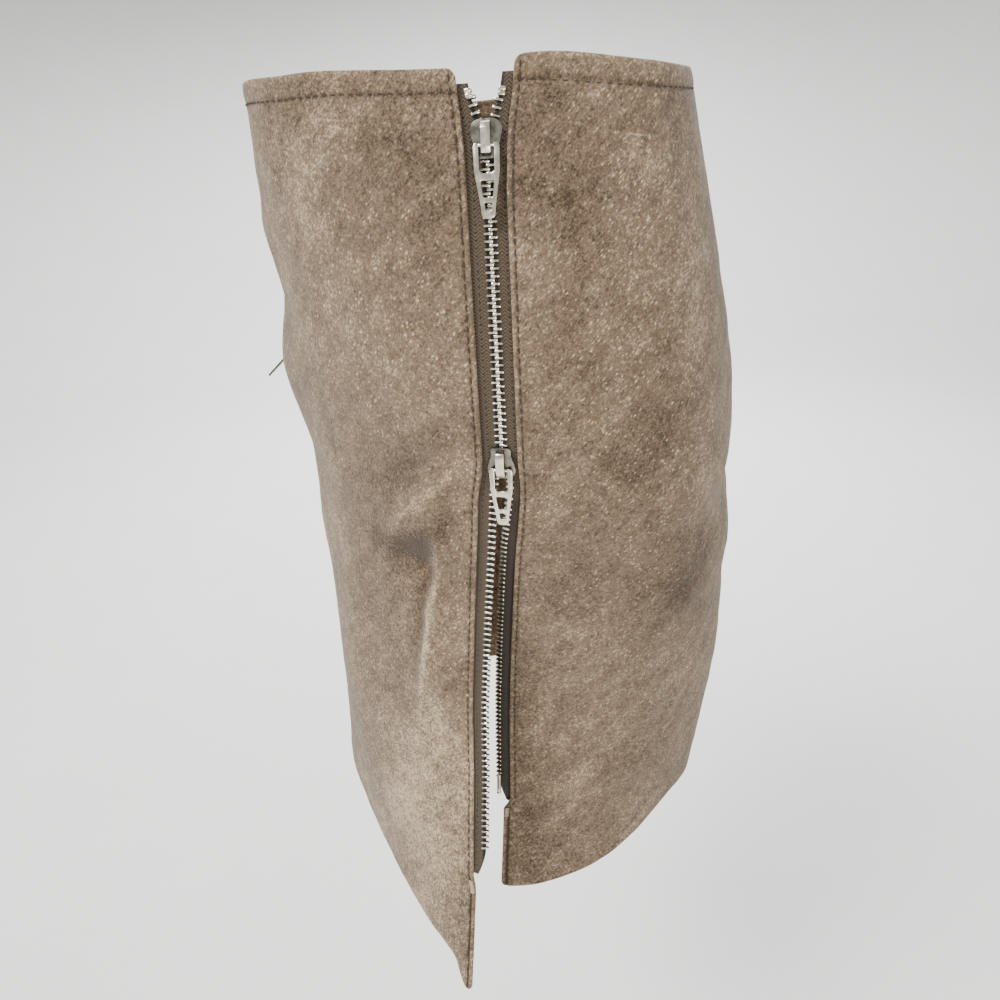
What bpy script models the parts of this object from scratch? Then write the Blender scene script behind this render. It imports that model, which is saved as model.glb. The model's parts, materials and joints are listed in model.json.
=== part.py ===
"""Suede mini skirt in its worn form, with a full-length two-way zip down each side front.

Frame: metres, +Z up. The origin is the middle of the waist opening, -Y is the front and
+X is the wearer's left. The tables and sizes below are in millimetres.

The skirt is a tube of four suede panels: a front between the two zips, a side panel from
each zip back to a plain seam, and a back panel between the two seams. The raw edges are
turned in, so the wall is double along the waist, the hem and the zips.
"""

import math

import bmesh
import bpy
import numpy as np
from mathutils import Matrix, Vector

MM = 0.001
COLLECTION = "suede_mini_skirt"

# ---------------------------------------------------------------- driving sizes, mm
LENGTH = 430.0              # waist edge to hem edge, straight down
SUEDE = 1.3                 # one layer of suede
SUEDE_TURNED = 2.4          # two layers, where an edge is turned in
WAIST_TURN = 10.0           # depth of the turned waist edge
HEM_TURN = 50.0             # depth of the turned hem
ZIP_TURN = 12.0             # width of the turned edges along the zips
TURN_STEP = 1.6             # width of the step where a turned edge ends
SEAM_GAP = 0.3              # between two panels at a seam, and a tape and its panel
CORNER_ROUND = 4.0          # rounding of the panel corners beside the zips
CORNER_COLUMN = 1.3         # distance of the next column of points from a zip edge
MOST_CUT = 0.8              # share of the first row that the rounding may take

TAPE_THICK = 0.5
TAPE_WIDE = 14.0
TAPE_TOP = 5.0              # drop at which the tapes begin
TAPE_END = 377.0            # drop at which they end, just above the turned hem
TAPE_DEPTH = SUEDE_TURNED + SEAM_GAP + TAPE_THICK / 2   # middle of the tape, below the suede
TAPE_TUCK = 2.5             # how far the loose edge of a tape turns in at the hem
TAPE_COLUMNS = (0.0, 0.45, 1.0)     # places of the points across a tape
TAPE_NEAR_END = 1.0         # rows nearer than this to a tape's end are left out

CROWN_TOP = 20.5            # drop of the upper slider's wide end
SLIDER_LONG = 14.5
SLIDER_LOW_LEFT = 151.5     # drop of the lower slider's narrow end, left zip
SLIDER_LOW_RIGHT = 131.0    # and right zip
PLATE_OUT = 2.3             # outer face of the slider's plates, from the tape's middle
PLATE_IN = 1.3              # inner face
SLOT_HALF = 0.95            # half height of the slot that the tape runs in
BRIDGE_WIDE = 3.6
PIVOT_OUT = 3.7             # the pull tab's bar, from the tape's middle
PIVOT_FRACTION = 0.69       # place of the bar, from the slider's upper end
TAB_THICK = 1.4
TAB_ARM_END = 0.9           # how far the arms pass the bar
TAB_SWING_RIGHT_LOW = 46.0  # degrees that the right zip's lower tab stands out

STOP_LONG = 3.6             # the top stops, clipped over the tapes' edges
STOP_WIDE = 2.0
STOP_THICK = 2.6
STOP_WALL = 1.1
STOP_DROP = 11.0            # drop of a stop's middle
PIN_LONG = 13.0             # the pins at the foot of the side tapes
PIN_WIDE = 1.2
PIN_THICK = 1.8
PIN_WALL = 0.9
PIN_DROP = 370.0

# ---------------------------------------------------------------- the form of the skirt
# One row for each level: half of a ring that is mirrored about its sway.
# front_y and back_y lie on the middle line; zip, side and seam are points on the left.
SECTION_COLUMNS = ("drop", "front_y", "zip_x", "zip_y", "side_x", "side_y",
                   "seam_x", "seam_y", "back_y", "sway")
SECTIONS = (
    (0, -110, 95, -53, 127, 6, 86, 69, 91, 0),
    (50, -107, 102, -60, 137, 7, 93, 76, 98, 1),
    (110, -102, 107, -66, 146, 8, 101, 84, 105, 3),
    (175, -99, 108, -66, 151, 10, 106, 91, 110, 1),
    (245, -99, 104, -62, 147, 13, 109, 95, 113, -1),
    (320, -103, 104, -62, 136, 18, 106, 95, 114, 1),
    (385, -106, 108, -69, 122, 24, 95, 87, 115, 11),
    (430, -108, 111, -79, 109, 29, 83, 77, 117, 22),
)

# The panels in ring order. Knots 0 to 8 go round the ring from the middle of the front:
# 1 left zip, 2 side, 3 left seam, 4 back, 5 right seam, 6 side, 7 right zip.
PANEL_COLUMNS = ("name", "first_knot", "last_knot", "first_edge", "last_edge")
PANELS = (
    ("front_panel", -1, 1, "zip_right", "zip_left"),
    ("left_side_panel", 1, 3, "zip_left", "seam"),
    ("back_panel", 3, 5, "seam", "seam"),
    ("right_side_panel", 5, 7, "seam", "zip_right"),
)

# Below the lower sliders the zips are open, and the loose edges part.
# A row moves one edge of a panel at the hem; the move fades across the panel by a power.
PARTING_COLUMNS = ("panel", "edge", "move_x", "move_y", "fade")
PARTINGS = (
    ("front_panel", "zip_left", 13.6, -47.0, 2.5),
    ("left_side_panel", "zip_left", -39.7, -1.4, 2.0),
    ("front_panel", "zip_right", -1.0, 0.0, 2.5),
    ("right_side_panel", "zip_right", 9.0, -1.0, 2.0),
)
PARTING_SOFTNESS = 0.05

# A swelling over the right zip's lower slider: its middle drop, half length, half width on
# either side of the zip, and height outward.
SWELLING = ("zip_right", 142.0, 42.0, 85.0, 5.4)

# Distance from the middle of a zip to the edge of its tape and to the edge of the suede.
# The rows of the slit count from the lower slider's crown, those of its foot from the hem.
ZIP_COLUMNS = ("drop", "tape_edge", "suede_edge")
ZIP_TOP = ((0, 7.6, 9.8), (13, 6.0, 9.0), (20.5, 4.0, 8.4), (29, 1.5, 7.8), (45, 1.5, 7.5))
ZIP_SLIT = ((-8, 1.5, 7.5), (0, 4.0, 8.0), (10, 3.4, 8.2), (40, 1.5, 7.5))
ZIP_FOOT = {
    "front_panel": ((-64, 3.6, 9.6), (-51, 3.6, 9.4), (-46, 3.6, 7.4), (10, 3.6, 7.4)),
    "side_panel": ((-64, 1.5, 7.5), (-51, 1.5, 7.5), (-46, 1.5, 4.4), (10, 1.5, 4.4)),
}

# How the waist edge and the hem rise and dip: drop beyond the nominal edges at a share of
# the way across each panel.
EDGE_COLUMNS = ("share", "waist", "hem")
EDGES = {
    "front_panel": ((0.0, 1.0, 1.0), (0.2, -2.6, 2.5), (0.45, -2.2, 2.5), (0.6, -1.0, -0.5),
                    (0.7, -0.9, -4.0), (0.8, 0.3, -5.7), (0.9, 1.7, -8.2), (0.94, 2.1, -7.0),
                    (0.97, 2.4, -0.5), (1.0, 2.6, 1.0)),
    "left_side_panel": ((0.0, -0.6, 3.5), (0.08, -0.9, 2.8), (0.16, 0.1, 1.4),
                        (0.36, 3.1, -2.6), (0.5, 4.3, -9.0), (0.6, 4.3, -15.0),
                        (0.7, 4.0, -18.0), (0.82, 3.1, -16.5), (1.0, 2.5, -13.0)),
    "back_panel": ((0.0, 2.5, -13.0), (0.2, 1.5, -9.5), (0.5, 1.0, -5.0), (1.0, 2.0, -4.0)),
    "right_side_panel": ((0.0, 2.0, -4.0), (0.5, 3.5, -3.0), (0.84, 0.1, 0.5), (1.0, -0.6, 2.0)),
}
EDGE_REACH = 60.0           # how far below the waist and above the hem they act in full

# Soft folds and dents: middle in mm from the panel's first edge and from the waist,
# half length and half width, lean of its long axis from upright, height outward.
FOLD_COLUMNS = ("panel", "across", "drop", "half_long", "half_wide", "lean", "height")
FOLDS = (
    ("front_panel", 40, 60, 20, 40, 0, 4.3),
    ("front_panel", 42, 98, 17, 38, 0, -3.4),
    ("front_panel", 52, 143, 24, 34, 0, 1.6),
    ("front_panel", 45, 190, 24, 40, 0, -3.2),
    ("front_panel", 45, 245, 30, 36, 0, 1.5),
    ("front_panel", 184, 222, 24, 12, 76, -3.6),
    ("front_panel", 190, 264, 56, 14, -6, 3.8),
    ("front_panel", 184, 187, 36, 11, -46, 2.8),
    ("front_panel", 174, 166, 34, 12, -46, -1.6),
    ("front_panel", 150, 300, 70, 24, -6, -1.8),
    ("front_panel", 110, 340, 60, 22, 4, 1.4),
    ("front_panel", 95, 30, 18, 40, 0, 1.0),
    ("left_side_panel", 150, 203, 13, 45, 0, -3.0),
    ("left_side_panel", 148, 236, 16, 42, 0, 1.8),
    ("left_side_panel", 146, 262, 12, 42, 0, -0.9),
    ("left_side_panel", 138, 318, 40, 40, 0, 2.0),
    ("left_side_panel", 160, 150, 24, 40, 0, 1.2),
    ("left_side_panel", 60, 120, 46, 13, 48, 0.9),
    ("left_side_panel", 66, 178, 52, 14, 46, -1.0),
    ("left_side_panel", 72, 214, 50, 14, 50, 1.1),
    ("left_side_panel", 60, 268, 48, 15, 42, -1.0),
    ("left_side_panel", 86, 330, 44, 16, 30, 1.0),
    ("back_panel", 60, 120, 60, 17, 35, 1.2),
    ("back_panel", 150, 150, 56, 16, -38, 1.1),
    ("back_panel", 104, 240, 70, 20, 8, -1.8),
    ("back_panel", 70, 330, 52, 16, -14, 1.5),
    ("back_panel", 156, 320, 60, 15, 16, 1.3),
    ("right_side_panel", 36, 200, 14, 44, 0, -2.4),
    ("right_side_panel", 40, 240, 18, 44, 0, 1.8),
    ("right_side_panel", 110, 140, 48, 14, -44, 1.0),
    ("right_side_panel", 100, 215, 52, 15, -48, 1.2),
    ("right_side_panel", 116, 290, 50, 15, -30, -1.2),
)

FOLD_FADE = 16.0            # width over which the folds die out at a panel's edge
FOLD_START_ZIP = 16.0       # distance from a zip's middle where they begin
FOLD_AT_WAIST = 0.2         # what is left of them at the waist edge

# ---------------------------------------------------------------- hardware outlines, mm
# Slider seen from outside: along from the narrow end to the crown, half width.
SLIDER_OUTLINE = ((0.0, 3.6), (0.4, 4.2), (3.5, 4.5), (8.0, 5.9), (11.0, 6.3), (12.8, 5.6),
                  (14.2, 3.6), (14.5, 2.2))
CHANNEL_NARROW = 3.3
CHANNEL_WIDE = 5.4
CHANNEL_BEND = 6.0
CHANNEL_SPLIT = 7.2
WEDGE_HALF = 1.2
WEDGE_FULL = 12.6
# Bridge seen from the side: along the slider, height above the tape's middle.
BRIDGE_OUTLINE = ((0.8, 2.1), (0.8, 3.4), (1.6, 5.2), (3.4, 6.0), (10.6, 6.0), (12.6, 5.0),
                  (13.6, 3.2), (13.6, 2.1), (12.2, 2.1), (12.0, 3.4), (10.9, 4.85),
                  (3.6, 4.95), (2.6, 4.2), (2.2, 2.1))
# Pull tab: distance below the bar, half width.
TAB_OUTLINE = ((9.5, 5.1), (13.0, 4.5), (22.0, 3.1), (25.6, 2.7), (26.6, 2.2), (27.0, 1.2))
TAB_TOP_HALF = 5.3
TAB_SLOT_HALF = 3.0
TAB_SLOT_LONG = 10.2
# Windows: from, to, half width at each end.
TAB_WINDOWS = ((12.9, 19.2, 2.7, 1.9), (21.0, 24.0, 1.5, 1.2))
TAB_CORNER = 0.8            # corners cut off the arms' ends
TAB_SLOT_CORNER = 1.0       # and off the slot's foot
TAB_BAR_SINK = 0.6          # how far the bar runs into each arm
TAB_BAR_SIDES = 12
CUT_PAST = 1.0              # how far a cutter runs past what it cuts

# ---------------------------------------------------------------- fineness of the solids
SHARP_ANGLE = math.radians(40)
CLEAR_OF_STEP = 0.4         # share of a cell within which a step replaces a column or row
FRAME_REACH = 4.0           # how far above and below a metal piece its slope is read
LATTICE_ROWS = 173
LATTICE_COLUMNS = 97
PANEL_CELLS = {"front_panel": (20, 31), "left_side_panel": (15, 31),
               "back_panel": (16, 28), "right_side_panel": (14, 28)}


# ---------------------------------------------------------------- scene housekeeping
def clear_scene():
    for thing in list(bpy.data.objects):
        bpy.data.objects.remove(thing, do_unlink=True)


def new_collection(name):
    collection = bpy.data.collections.new(name)
    bpy.context.scene.collection.children.link(collection)
    return collection


def make_material(name, colour, roughness, metallic):
    material = bpy.data.materials.new(name)
    material.use_nodes = True
    shader = material.node_tree.nodes["Principled BSDF"]
    shader.inputs["Base Color"].default_value = (*colour, 1.0)
    shader.inputs["Roughness"].default_value = roughness
    shader.inputs["Metallic"].default_value = metallic
    return material


# ---------------------------------------------------------------- smooth curves through rows
def smooth_through(knots, rows, places, closed=False):
    """Cubic curve through the rows at their knots, read at the places."""
    knots = np.asarray(knots, float)
    rows = np.asarray(rows, float)
    steps = np.diff(knots)
    if closed:
        chords = (np.roll(rows, -1, axis=0) - rows) / steps[:, None]
        steps_before = np.roll(steps, 1)
        chords_before = np.roll(chords, 1, axis=0)
        slopes = (chords_before * steps[:, None] + chords * steps_before[:, None])
        slopes = slopes / (steps + steps_before)[:, None]
        places = (np.asarray(places, float) - knots[0]) % (knots[-1] - knots[0]) + knots[0]
    else:
        chords = np.diff(rows, axis=0) / steps[:, None]
        slopes = np.zeros_like(rows)
        weights = (steps[1:] + steps[:-1])[:, None]
        slopes[1:-1] = (chords[:-1] * steps[1:, None] + chords[1:] * steps[:-1, None]) / weights
        slopes[0] = chords[0] * 1.5 - slopes[1] * 0.5
        slopes[-1] = chords[-1] * 1.5 - slopes[-2] * 0.5
        places = np.asarray(places, float)
    spans = len(steps)
    left = np.clip(np.searchsorted(knots, places, side="right") - 1, 0, spans - 1)
    right = (left + 1) % len(rows)
    size = steps[left][:, None]
    t = ((places - knots[left]) / steps[left])[:, None]
    return ((2 * t**3 - 3 * t**2 + 1) * rows[left] + (t**3 - 2 * t**2 + t) * size * slopes[left]
            + (3 * t**2 - 2 * t**3) * rows[right] + (t**3 - t**2) * size * slopes[right])


def section_at(drops):
    table = np.array(SECTIONS, float)
    return smooth_through(table[:, 0], table[:, 1:], drops)


def ring_points(section):
    """The eight knots of one level, from the middle of the front round to the left."""
    front_y, zip_x, zip_y, side_x, side_y, seam_x, seam_y, back_y, sway = section
    points = np.array(((0, front_y), (zip_x, zip_y), (side_x, side_y), (seam_x, seam_y),
                       (0, back_y), (-seam_x, seam_y), (-side_x, side_y), (-zip_x, zip_y)))
    return points + (sway, 0)


def panel_curve(points, first_knot, last_knot):
    """Points evenly spaced along one panel's stretch of a ring, and its length."""
    closed = np.vstack((points, points[:1]))
    lengths = np.linalg.norm(np.diff(closed, axis=0), axis=1)
    knots = np.concatenate(((0.0,), np.cumsum(lengths)))
    turn = knots[-1]
    ends = [knots[knot % 8] + (turn if knot > 8 else 0) - (turn if knot < 0 else 0)
            for knot in (first_knot, last_knot)]
    fine = smooth_through(knots, points, np.linspace(*ends, 4 * LATTICE_COLUMNS), closed=True)
    run = np.concatenate(((0.0,), np.cumsum(np.linalg.norm(np.diff(fine, axis=0), axis=1))))
    even = np.linspace(0, run[-1], LATTICE_COLUMNS)
    return np.column_stack([np.interp(even, run, fine[:, axis]) for axis in (0, 1)]), run[-1]


def slit_start(edge):
    """Drop of the lower slider's crown, where the zip parts."""
    return (SLIDER_LOW_LEFT if edge == "zip_left" else SLIDER_LOW_RIGHT) + SLIDER_LONG


def parting_at(edge, drops):
    """How far a loose edge has moved at each drop, 0 above its slit and 1 at the hem."""
    start = slit_start(edge)
    share = np.clip((drops - start) / (LENGTH - start), 0, None)
    soft = PARTING_SOFTNESS
    return (np.sqrt(share**2 + soft**2) - soft) / (math.sqrt(1 + soft**2) - soft)


def zip_edges(panel, edge, drops):
    """Tape edge and suede edge, as distances from the middle of the zip."""
    start = slit_start(edge)
    foot = ZIP_FOOT["front_panel" if panel.name == "front_panel" else "side_panel"]
    rows = ZIP_TOP + tuple((start + drop, tape, suede) for drop, tape, suede in ZIP_SLIT)
    rows += tuple((LENGTH + drop, tape, suede) for drop, tape, suede in foot)
    table = np.array(rows)
    return [np.interp(drops, table[:, 0], table[:, column]) for column in (1, 2)]


class Panel:
    """The smooth surface of one panel, read by distance across and drop."""

    def __init__(self, name, first_knot, last_knot, first_edge, last_edge):
        self.name = name
        self.edges = (first_edge, last_edge)
        self.drops = np.linspace(0, LENGTH, LATTICE_ROWS)
        share = np.linspace(0, 1, LATTICE_COLUMNS)
        rows = [panel_curve(ring_points(section), first_knot, last_knot)
                for section in section_at(self.drops)]
        self.widths = np.array([width for curve, width in rows])
        self.points = np.zeros((LATTICE_ROWS, LATTICE_COLUMNS, 3))
        self.points[..., :2] = [curve for curve, width in rows]
        self.points[..., 2] = -self.drops[:, None]
        for panel, edge, move_x, move_y, fade in PARTINGS:
            if panel == name:
                near = share if edge == last_edge else 1 - share
                amount = parting_at(edge, self.drops)[:, None] * near**fade
                self.points[..., 0] += amount * move_x
                self.points[..., 1] += amount * move_y
        self.normals = self.surface_normals()
        edge, drop, half_long, half_wide, height = SWELLING
        if edge in self.edges:
            near = share if edge == last_edge else 1 - share
            away = (1 - near) * self.widths[:, None]
            below = self.drops[:, None] - drop
            amount = height * np.exp(-(below / half_long)**2 - (away / half_wide)**2)
            self.points += self.normals * amount[..., None]
            self.normals = self.surface_normals()

    def surface_normals(self):
        down = np.gradient(self.points, axis=0)
        along = np.gradient(self.points, axis=1)
        normals = np.cross(down, along)
        return normals / np.linalg.norm(normals, axis=2, keepdims=True)

    def width(self, drops):
        return np.interp(drops, self.drops, self.widths)

    def read(self, lattice, across, drops):
        """The lattice between its points, in straight lines."""
        across, drops = np.broadcast_arrays(np.asarray(across, float), np.asarray(drops, float))
        column = np.clip(across / self.width(drops), 0, 1) * (LATTICE_COLUMNS - 1)
        row = drops / LENGTH * (LATTICE_ROWS - 1)
        c = np.clip(column.astype(int), 0, LATTICE_COLUMNS - 2)
        r = np.clip(row.astype(int), 0, LATTICE_ROWS - 2)
        u = (column - c)[..., None]
        v = (row - r)[..., None]
        upper = lattice[r, c] * (1 - u) + lattice[r, c + 1] * u
        lower = lattice[r + 1, c] * (1 - u) + lattice[r + 1, c + 1] * u
        return upper * (1 - v) + lower * v

    def at(self, across, drops, out=0.0, folds=False):
        """Points on the panel, moved out of it by a distance."""
        normal = self.read(self.normals, across, drops)
        out = np.asarray(out, float) * np.ones(normal.shape[:-1])
        if folds:
            out = out + self.fold_height(across, drops)
        return self.read(self.points, across, drops) + normal * out[..., None]

    def fold_height(self, across, drops):
        height = np.zeros(np.broadcast(across, drops).shape)
        for panel, middle, drop, half_long, half_wide, lean, rise in FOLDS:
            if panel == self.name:
                lean = math.radians(lean)
                aside = across - middle
                below = drops - drop
                long_way = below * math.cos(lean) + aside * math.sin(lean)
                wide_way = aside * math.cos(lean) - below * math.sin(lean)
                height += rise * np.exp(-(long_way / half_long)**2 - (wide_way / half_wide)**2)
        return height * self.edge_fade(across, drops)

    def edge_fade(self, across, drops):
        """Folds die out at the seams and in the stiff turned edges along the zips."""
        fade = np.clip(drops / WAIST_TURN, FOLD_AT_WAIST, 1)
        for edge, distance in zip(self.edges, (across, self.width(drops) - across)):
            start = 0.0 if edge == "seam" else FOLD_START_ZIP
            share = np.clip((distance - start) / FOLD_FADE, 0, 1)
            fade = fade * share**2 * (3 - 2 * share)
        return fade

    def suede_limits(self, drops):
        """Where the suede begins and ends across the panel."""
        limits = []
        for edge in self.edges:
            inset = SEAM_GAP / 2 if edge == "seam" else zip_edges(self, edge, drops)[1]
            limits.append(inset * np.ones_like(drops))
        return limits[0], self.width(drops) - limits[1]


# ---------------------------------------------------------------- walls of cloth
def spaced(first, last, cells, steps):
    """Even spacing, with a close pair at each step where the thickness changes."""
    places = list(np.linspace(first, last, cells + 1))
    gap = (last - first) / cells
    for step in steps:
        places = [p for p in places if abs(p - step) > CLEAR_OF_STEP * gap or p in (first, last)]
        places += [step - TURN_STEP / 2, step + TURN_STEP / 2]
    return np.array(sorted(places))


def wall_object(name, outer, inner, material, collection):
    """A closed wall between two grids of points, in millimetres."""
    rows, columns = outer.shape[:2]
    mesh = bmesh.new()
    outer_side = [[mesh.verts.new(Vector(p) * MM) for p in line] for line in outer]
    inner_side = [[mesh.verts.new(Vector(p) * MM) for p in line] for line in inner]
    for r in range(rows - 1):
        for c in range(columns - 1):
            a, b = outer_side[r][c], outer_side[r][c + 1]
            d, e = outer_side[r + 1][c], outer_side[r + 1][c + 1]
            mesh.faces.new((a, d, e, b))
            a, b = inner_side[r][c], inner_side[r][c + 1]
            d, e = inner_side[r + 1][c], inner_side[r + 1][c + 1]
            mesh.faces.new((a, b, e, d))
    border = [(0, c) for c in range(columns)] + [(r, columns - 1) for r in range(1, rows)]
    border += [(rows - 1, c) for c in range(columns - 2, -1, -1)]
    border += [(r, 0) for r in range(rows - 2, 0, -1)]
    for here, after in zip(border, border[1:] + border[:1]):
        mesh.faces.new((outer_side[here[0]][here[1]], outer_side[after[0]][after[1]],
                        inner_side[after[0]][after[1]], inner_side[here[0]][here[1]]))
    data = bpy.data.meshes.new(name)
    mesh.to_mesh(data)
    mesh.free()
    data.shade_smooth()
    data.set_sharp_from_angle(angle=SHARP_ANGLE)
    thing = bpy.data.objects.new(name, data)
    data.materials.append(material)
    collection.objects.link(thing)
    return thing


def soft_step(distance):
    """1 within a turned edge and 0 past its step."""
    return np.clip(0.5 - distance / TURN_STEP, 0, 1)


def corner_cut(from_edge):
    """How much a rounded corner takes off the end of a panel, near its edge."""
    inside = np.clip(CORNER_ROUND - from_edge, 0, CORNER_ROUND)
    return CORNER_ROUND - np.sqrt(CORNER_ROUND**2 - inside**2)


def row_drops(panel):
    return spaced(0, LENGTH, PANEL_CELLS[panel.name][1], (WAIST_TURN, LENGTH - HEM_TURN))


def edge_offsets(panel, share):
    """How far the waist edge and the hem lie below their nominal drops."""
    table = np.array(EDGES[panel.name])
    return [smooth_through(table[:, 0], table[:, 1:], share)[..., column] for column in (0, 1)]


def shifted(panel, drops, share):
    """Drops that follow the waist edge near the waist and the hem near the hem."""
    waist, hem = edge_offsets(panel, share)
    toward_hem = np.clip((drops - EDGE_REACH) / (LENGTH - 2 * EDGE_REACH), 0, 1)
    return drops + waist * (1 - toward_hem) + hem * toward_hem


def make_panel(panel, material, collection):
    columns = PANEL_CELLS[panel.name][0]
    drops = row_drops(panel)
    first, last = panel.suede_limits(drops)
    zip_first = panel.edges[0] != "seam"
    zip_last = panel.edges[1] != "seam"
    reach = np.mean(last - first)
    steps = [ZIP_TURN] * zip_first + [reach - ZIP_TURN] * zip_last
    corners = [CORNER_COLUMN] * zip_first + [reach - CORNER_COLUMN] * zip_last
    from_first = np.sort(np.concatenate((spaced(0, reach, columns, steps), corners)))
    share = from_first / reach
    cut = np.zeros(len(share))
    if zip_first:
        cut += corner_cut(from_first)
    if zip_last:
        cut += corner_cut(reach - from_first)
    cut = np.minimum(cut, MOST_CUT * (drops[1] - drops[0]))
    nominal = np.repeat(drops[:, None], len(share), axis=1)
    nominal[0] += cut
    nominal[-1] -= cut
    drop_grid = shifted(panel, nominal, share)
    first, last = panel.suede_limits(drop_grid)
    across = first + share[None, :] * (last - first)
    to_first = across - first
    to_last = last - across
    turned = np.maximum(soft_step(nominal - WAIST_TURN),
                        soft_step(LENGTH - HEM_TURN - nominal))
    if zip_first:
        turned = np.maximum(turned, soft_step(to_first - ZIP_TURN))
    if zip_last:
        turned = np.maximum(turned, soft_step(to_last - ZIP_TURN))
    thick = SUEDE + (SUEDE_TURNED - SUEDE) * turned
    outer = panel.at(across, drop_grid, 0.0, folds=True)
    inner = panel.at(across, drop_grid, -thick, folds=True)
    return wall_object(panel.name, outer, inner, material, collection)


def make_tape(name, panel, edge, material, collection):
    drops = row_drops(panel)
    drops = np.sort(np.concatenate((drops, [row[0] for row in ZIP_TOP[1:4]])))
    between = drops[(drops > TAPE_TOP + TAPE_NEAR_END) & (drops < TAPE_END - TAPE_NEAR_END)]
    drops = np.concatenate(((TAPE_TOP,), between, (TAPE_END,)))
    share = np.array(TAPE_COLUMNS)
    edge_share = 0.0 if edge == panel.edges[0] else 1.0
    drops = shifted(panel, drops, edge_share * np.ones_like(drops))
    tape_edge, suede_edge = zip_edges(panel, edge, drops)
    from_middle = tape_edge[:, None] + share[None, :] * TAPE_WIDE
    across = from_middle if edge == panel.edges[0] else panel.width(drops)[:, None] - from_middle
    free = np.clip(suede_edge[:, None] - from_middle, 0, None) / suede_edge[:, None]
    tuck = parting_at(edge, drops)[:, None] * free * TAPE_TUCK
    depth = TAPE_DEPTH + tuck
    drop_grid = np.repeat(drops[:, None], len(share), axis=1)
    outer = panel.at(across, drop_grid, TAPE_THICK / 2 - depth, folds=True)
    inner = panel.at(across, drop_grid, -TAPE_THICK / 2 - depth, folds=True)
    if edge != panel.edges[0]:
        outer = outer[:, ::-1]
        inner = inner[:, ::-1]
    return wall_object(name, outer, inner, material, collection)


# ---------------------------------------------------------------- metal pieces
def zip_frame(panel, edge, drop, on_tape_edge=False):
    """Place on the tape's middle plane: X to the wearer's left round the ring, Y up, Z out."""
    drops = drop + FRAME_REACH * np.array((-1, 0, 1))
    across = zip_edges(panel, edge, drops)[0] if on_tape_edge else np.zeros(3)
    if edge == panel.edges[1]:
        across = panel.width(drops) - across
    above, here, below = panel.at(across, drops, -TAPE_DEPTH)
    out = Vector(panel.read(panel.normals, across[1], drop))
    up = Vector(above - below).normalized()
    side = up.cross(out).normalized()
    out = side.cross(up).normalized()
    frame = Matrix((side, up, out)).transposed().to_4x4()
    frame.translation = Vector(here) * MM
    return frame


def flat_plate(name, outline, low, high, collection):
    """A flat outline in X and Y, filled between two heights. Sizes in millimetres."""
    mesh = bmesh.new()
    ring = [mesh.verts.new((x * MM, y * MM, low * MM)) for x, y in outline]
    face = mesh.faces.new(ring)
    raised = bmesh.ops.extrude_face_region(mesh, geom=[face])
    lifted = [v for v in raised["geom"] if isinstance(v, bmesh.types.BMVert)]
    bmesh.ops.translate(mesh, verts=lifted, vec=(0, 0, (high - low) * MM))
    bmesh.ops.recalc_face_normals(mesh, faces=mesh.faces)
    data = bpy.data.meshes.new(name)
    mesh.to_mesh(data)
    mesh.free()
    thing = bpy.data.objects.new(name, data)
    collection.objects.link(thing)
    return thing


def mirrored_outline(half):
    """A closed outline from rows of (along, half width)."""
    right = [(width, along) for along, width in half]
    left = [(-width, along) for along, width in reversed(half)]
    return right + left


def combine(thing, other, operation):
    change = thing.modifiers.new(operation.lower() + "_" + other.name, "BOOLEAN")
    change.operation = operation
    change.object = other
    other.hide_render = True
    other.display_type = "WIRE"


def settled_mesh(thing, name):
    """The mesh of an object with its modifiers, as a mesh of its own."""
    bpy.context.view_layer.update()
    evaluated = thing.evaluated_get(bpy.context.evaluated_depsgraph_get())
    mesh = bpy.data.meshes.new_from_object(evaluated)
    mesh.name = name
    return mesh


def slider_mesh(cutters):
    """Slider with its narrow end at the origin and its crown along +Y."""
    far = SLIDER_LONG
    before, after = -CUT_PAST, SLIDER_LONG + CUT_PAST
    body = flat_plate("slider_body", mirrored_outline(SLIDER_OUTLINE), -PLATE_OUT, PLATE_OUT,
                      cutters)
    wedge = ((WEDGE_HALF, after), (WEDGE_HALF, WEDGE_FULL), (0, CHANNEL_SPLIT),
             (-WEDGE_HALF, WEDGE_FULL), (-WEDGE_HALF, after))
    channel = ((-CHANNEL_NARROW, before), (CHANNEL_NARROW, before),
               (CHANNEL_NARROW, CHANNEL_BEND), (CHANNEL_WIDE, WEDGE_FULL),
               (CHANNEL_WIDE, after)) + wedge
    channel += ((-CHANNEL_WIDE, after), (-CHANNEL_WIDE, WEDGE_FULL),
                (-CHANNEL_NARROW, CHANNEL_BEND))
    slot = ((-far, before), (far, before), (far, after)) + wedge + ((-far, after),)
    combine(body, flat_plate("slider_channel", channel, -PLATE_IN, PLATE_IN, cutters),
            "DIFFERENCE")
    combine(body, flat_plate("slider_slot", slot, -SLOT_HALF, SLOT_HALF, cutters), "DIFFERENCE")
    bridge = flat_plate("slider_bridge", BRIDGE_OUTLINE, -BRIDGE_WIDE / 2, BRIDGE_WIDE / 2,
                        cutters)
    turn = Matrix(((0, 0, 1), (1, 0, 0), (0, 1, 0))).to_4x4()
    bridge.data.transform(turn)
    combine(body, bridge, "UNION")
    body.hide_render = True
    body.display_type = "WIRE"
    return settled_mesh(body, "slider")


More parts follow.
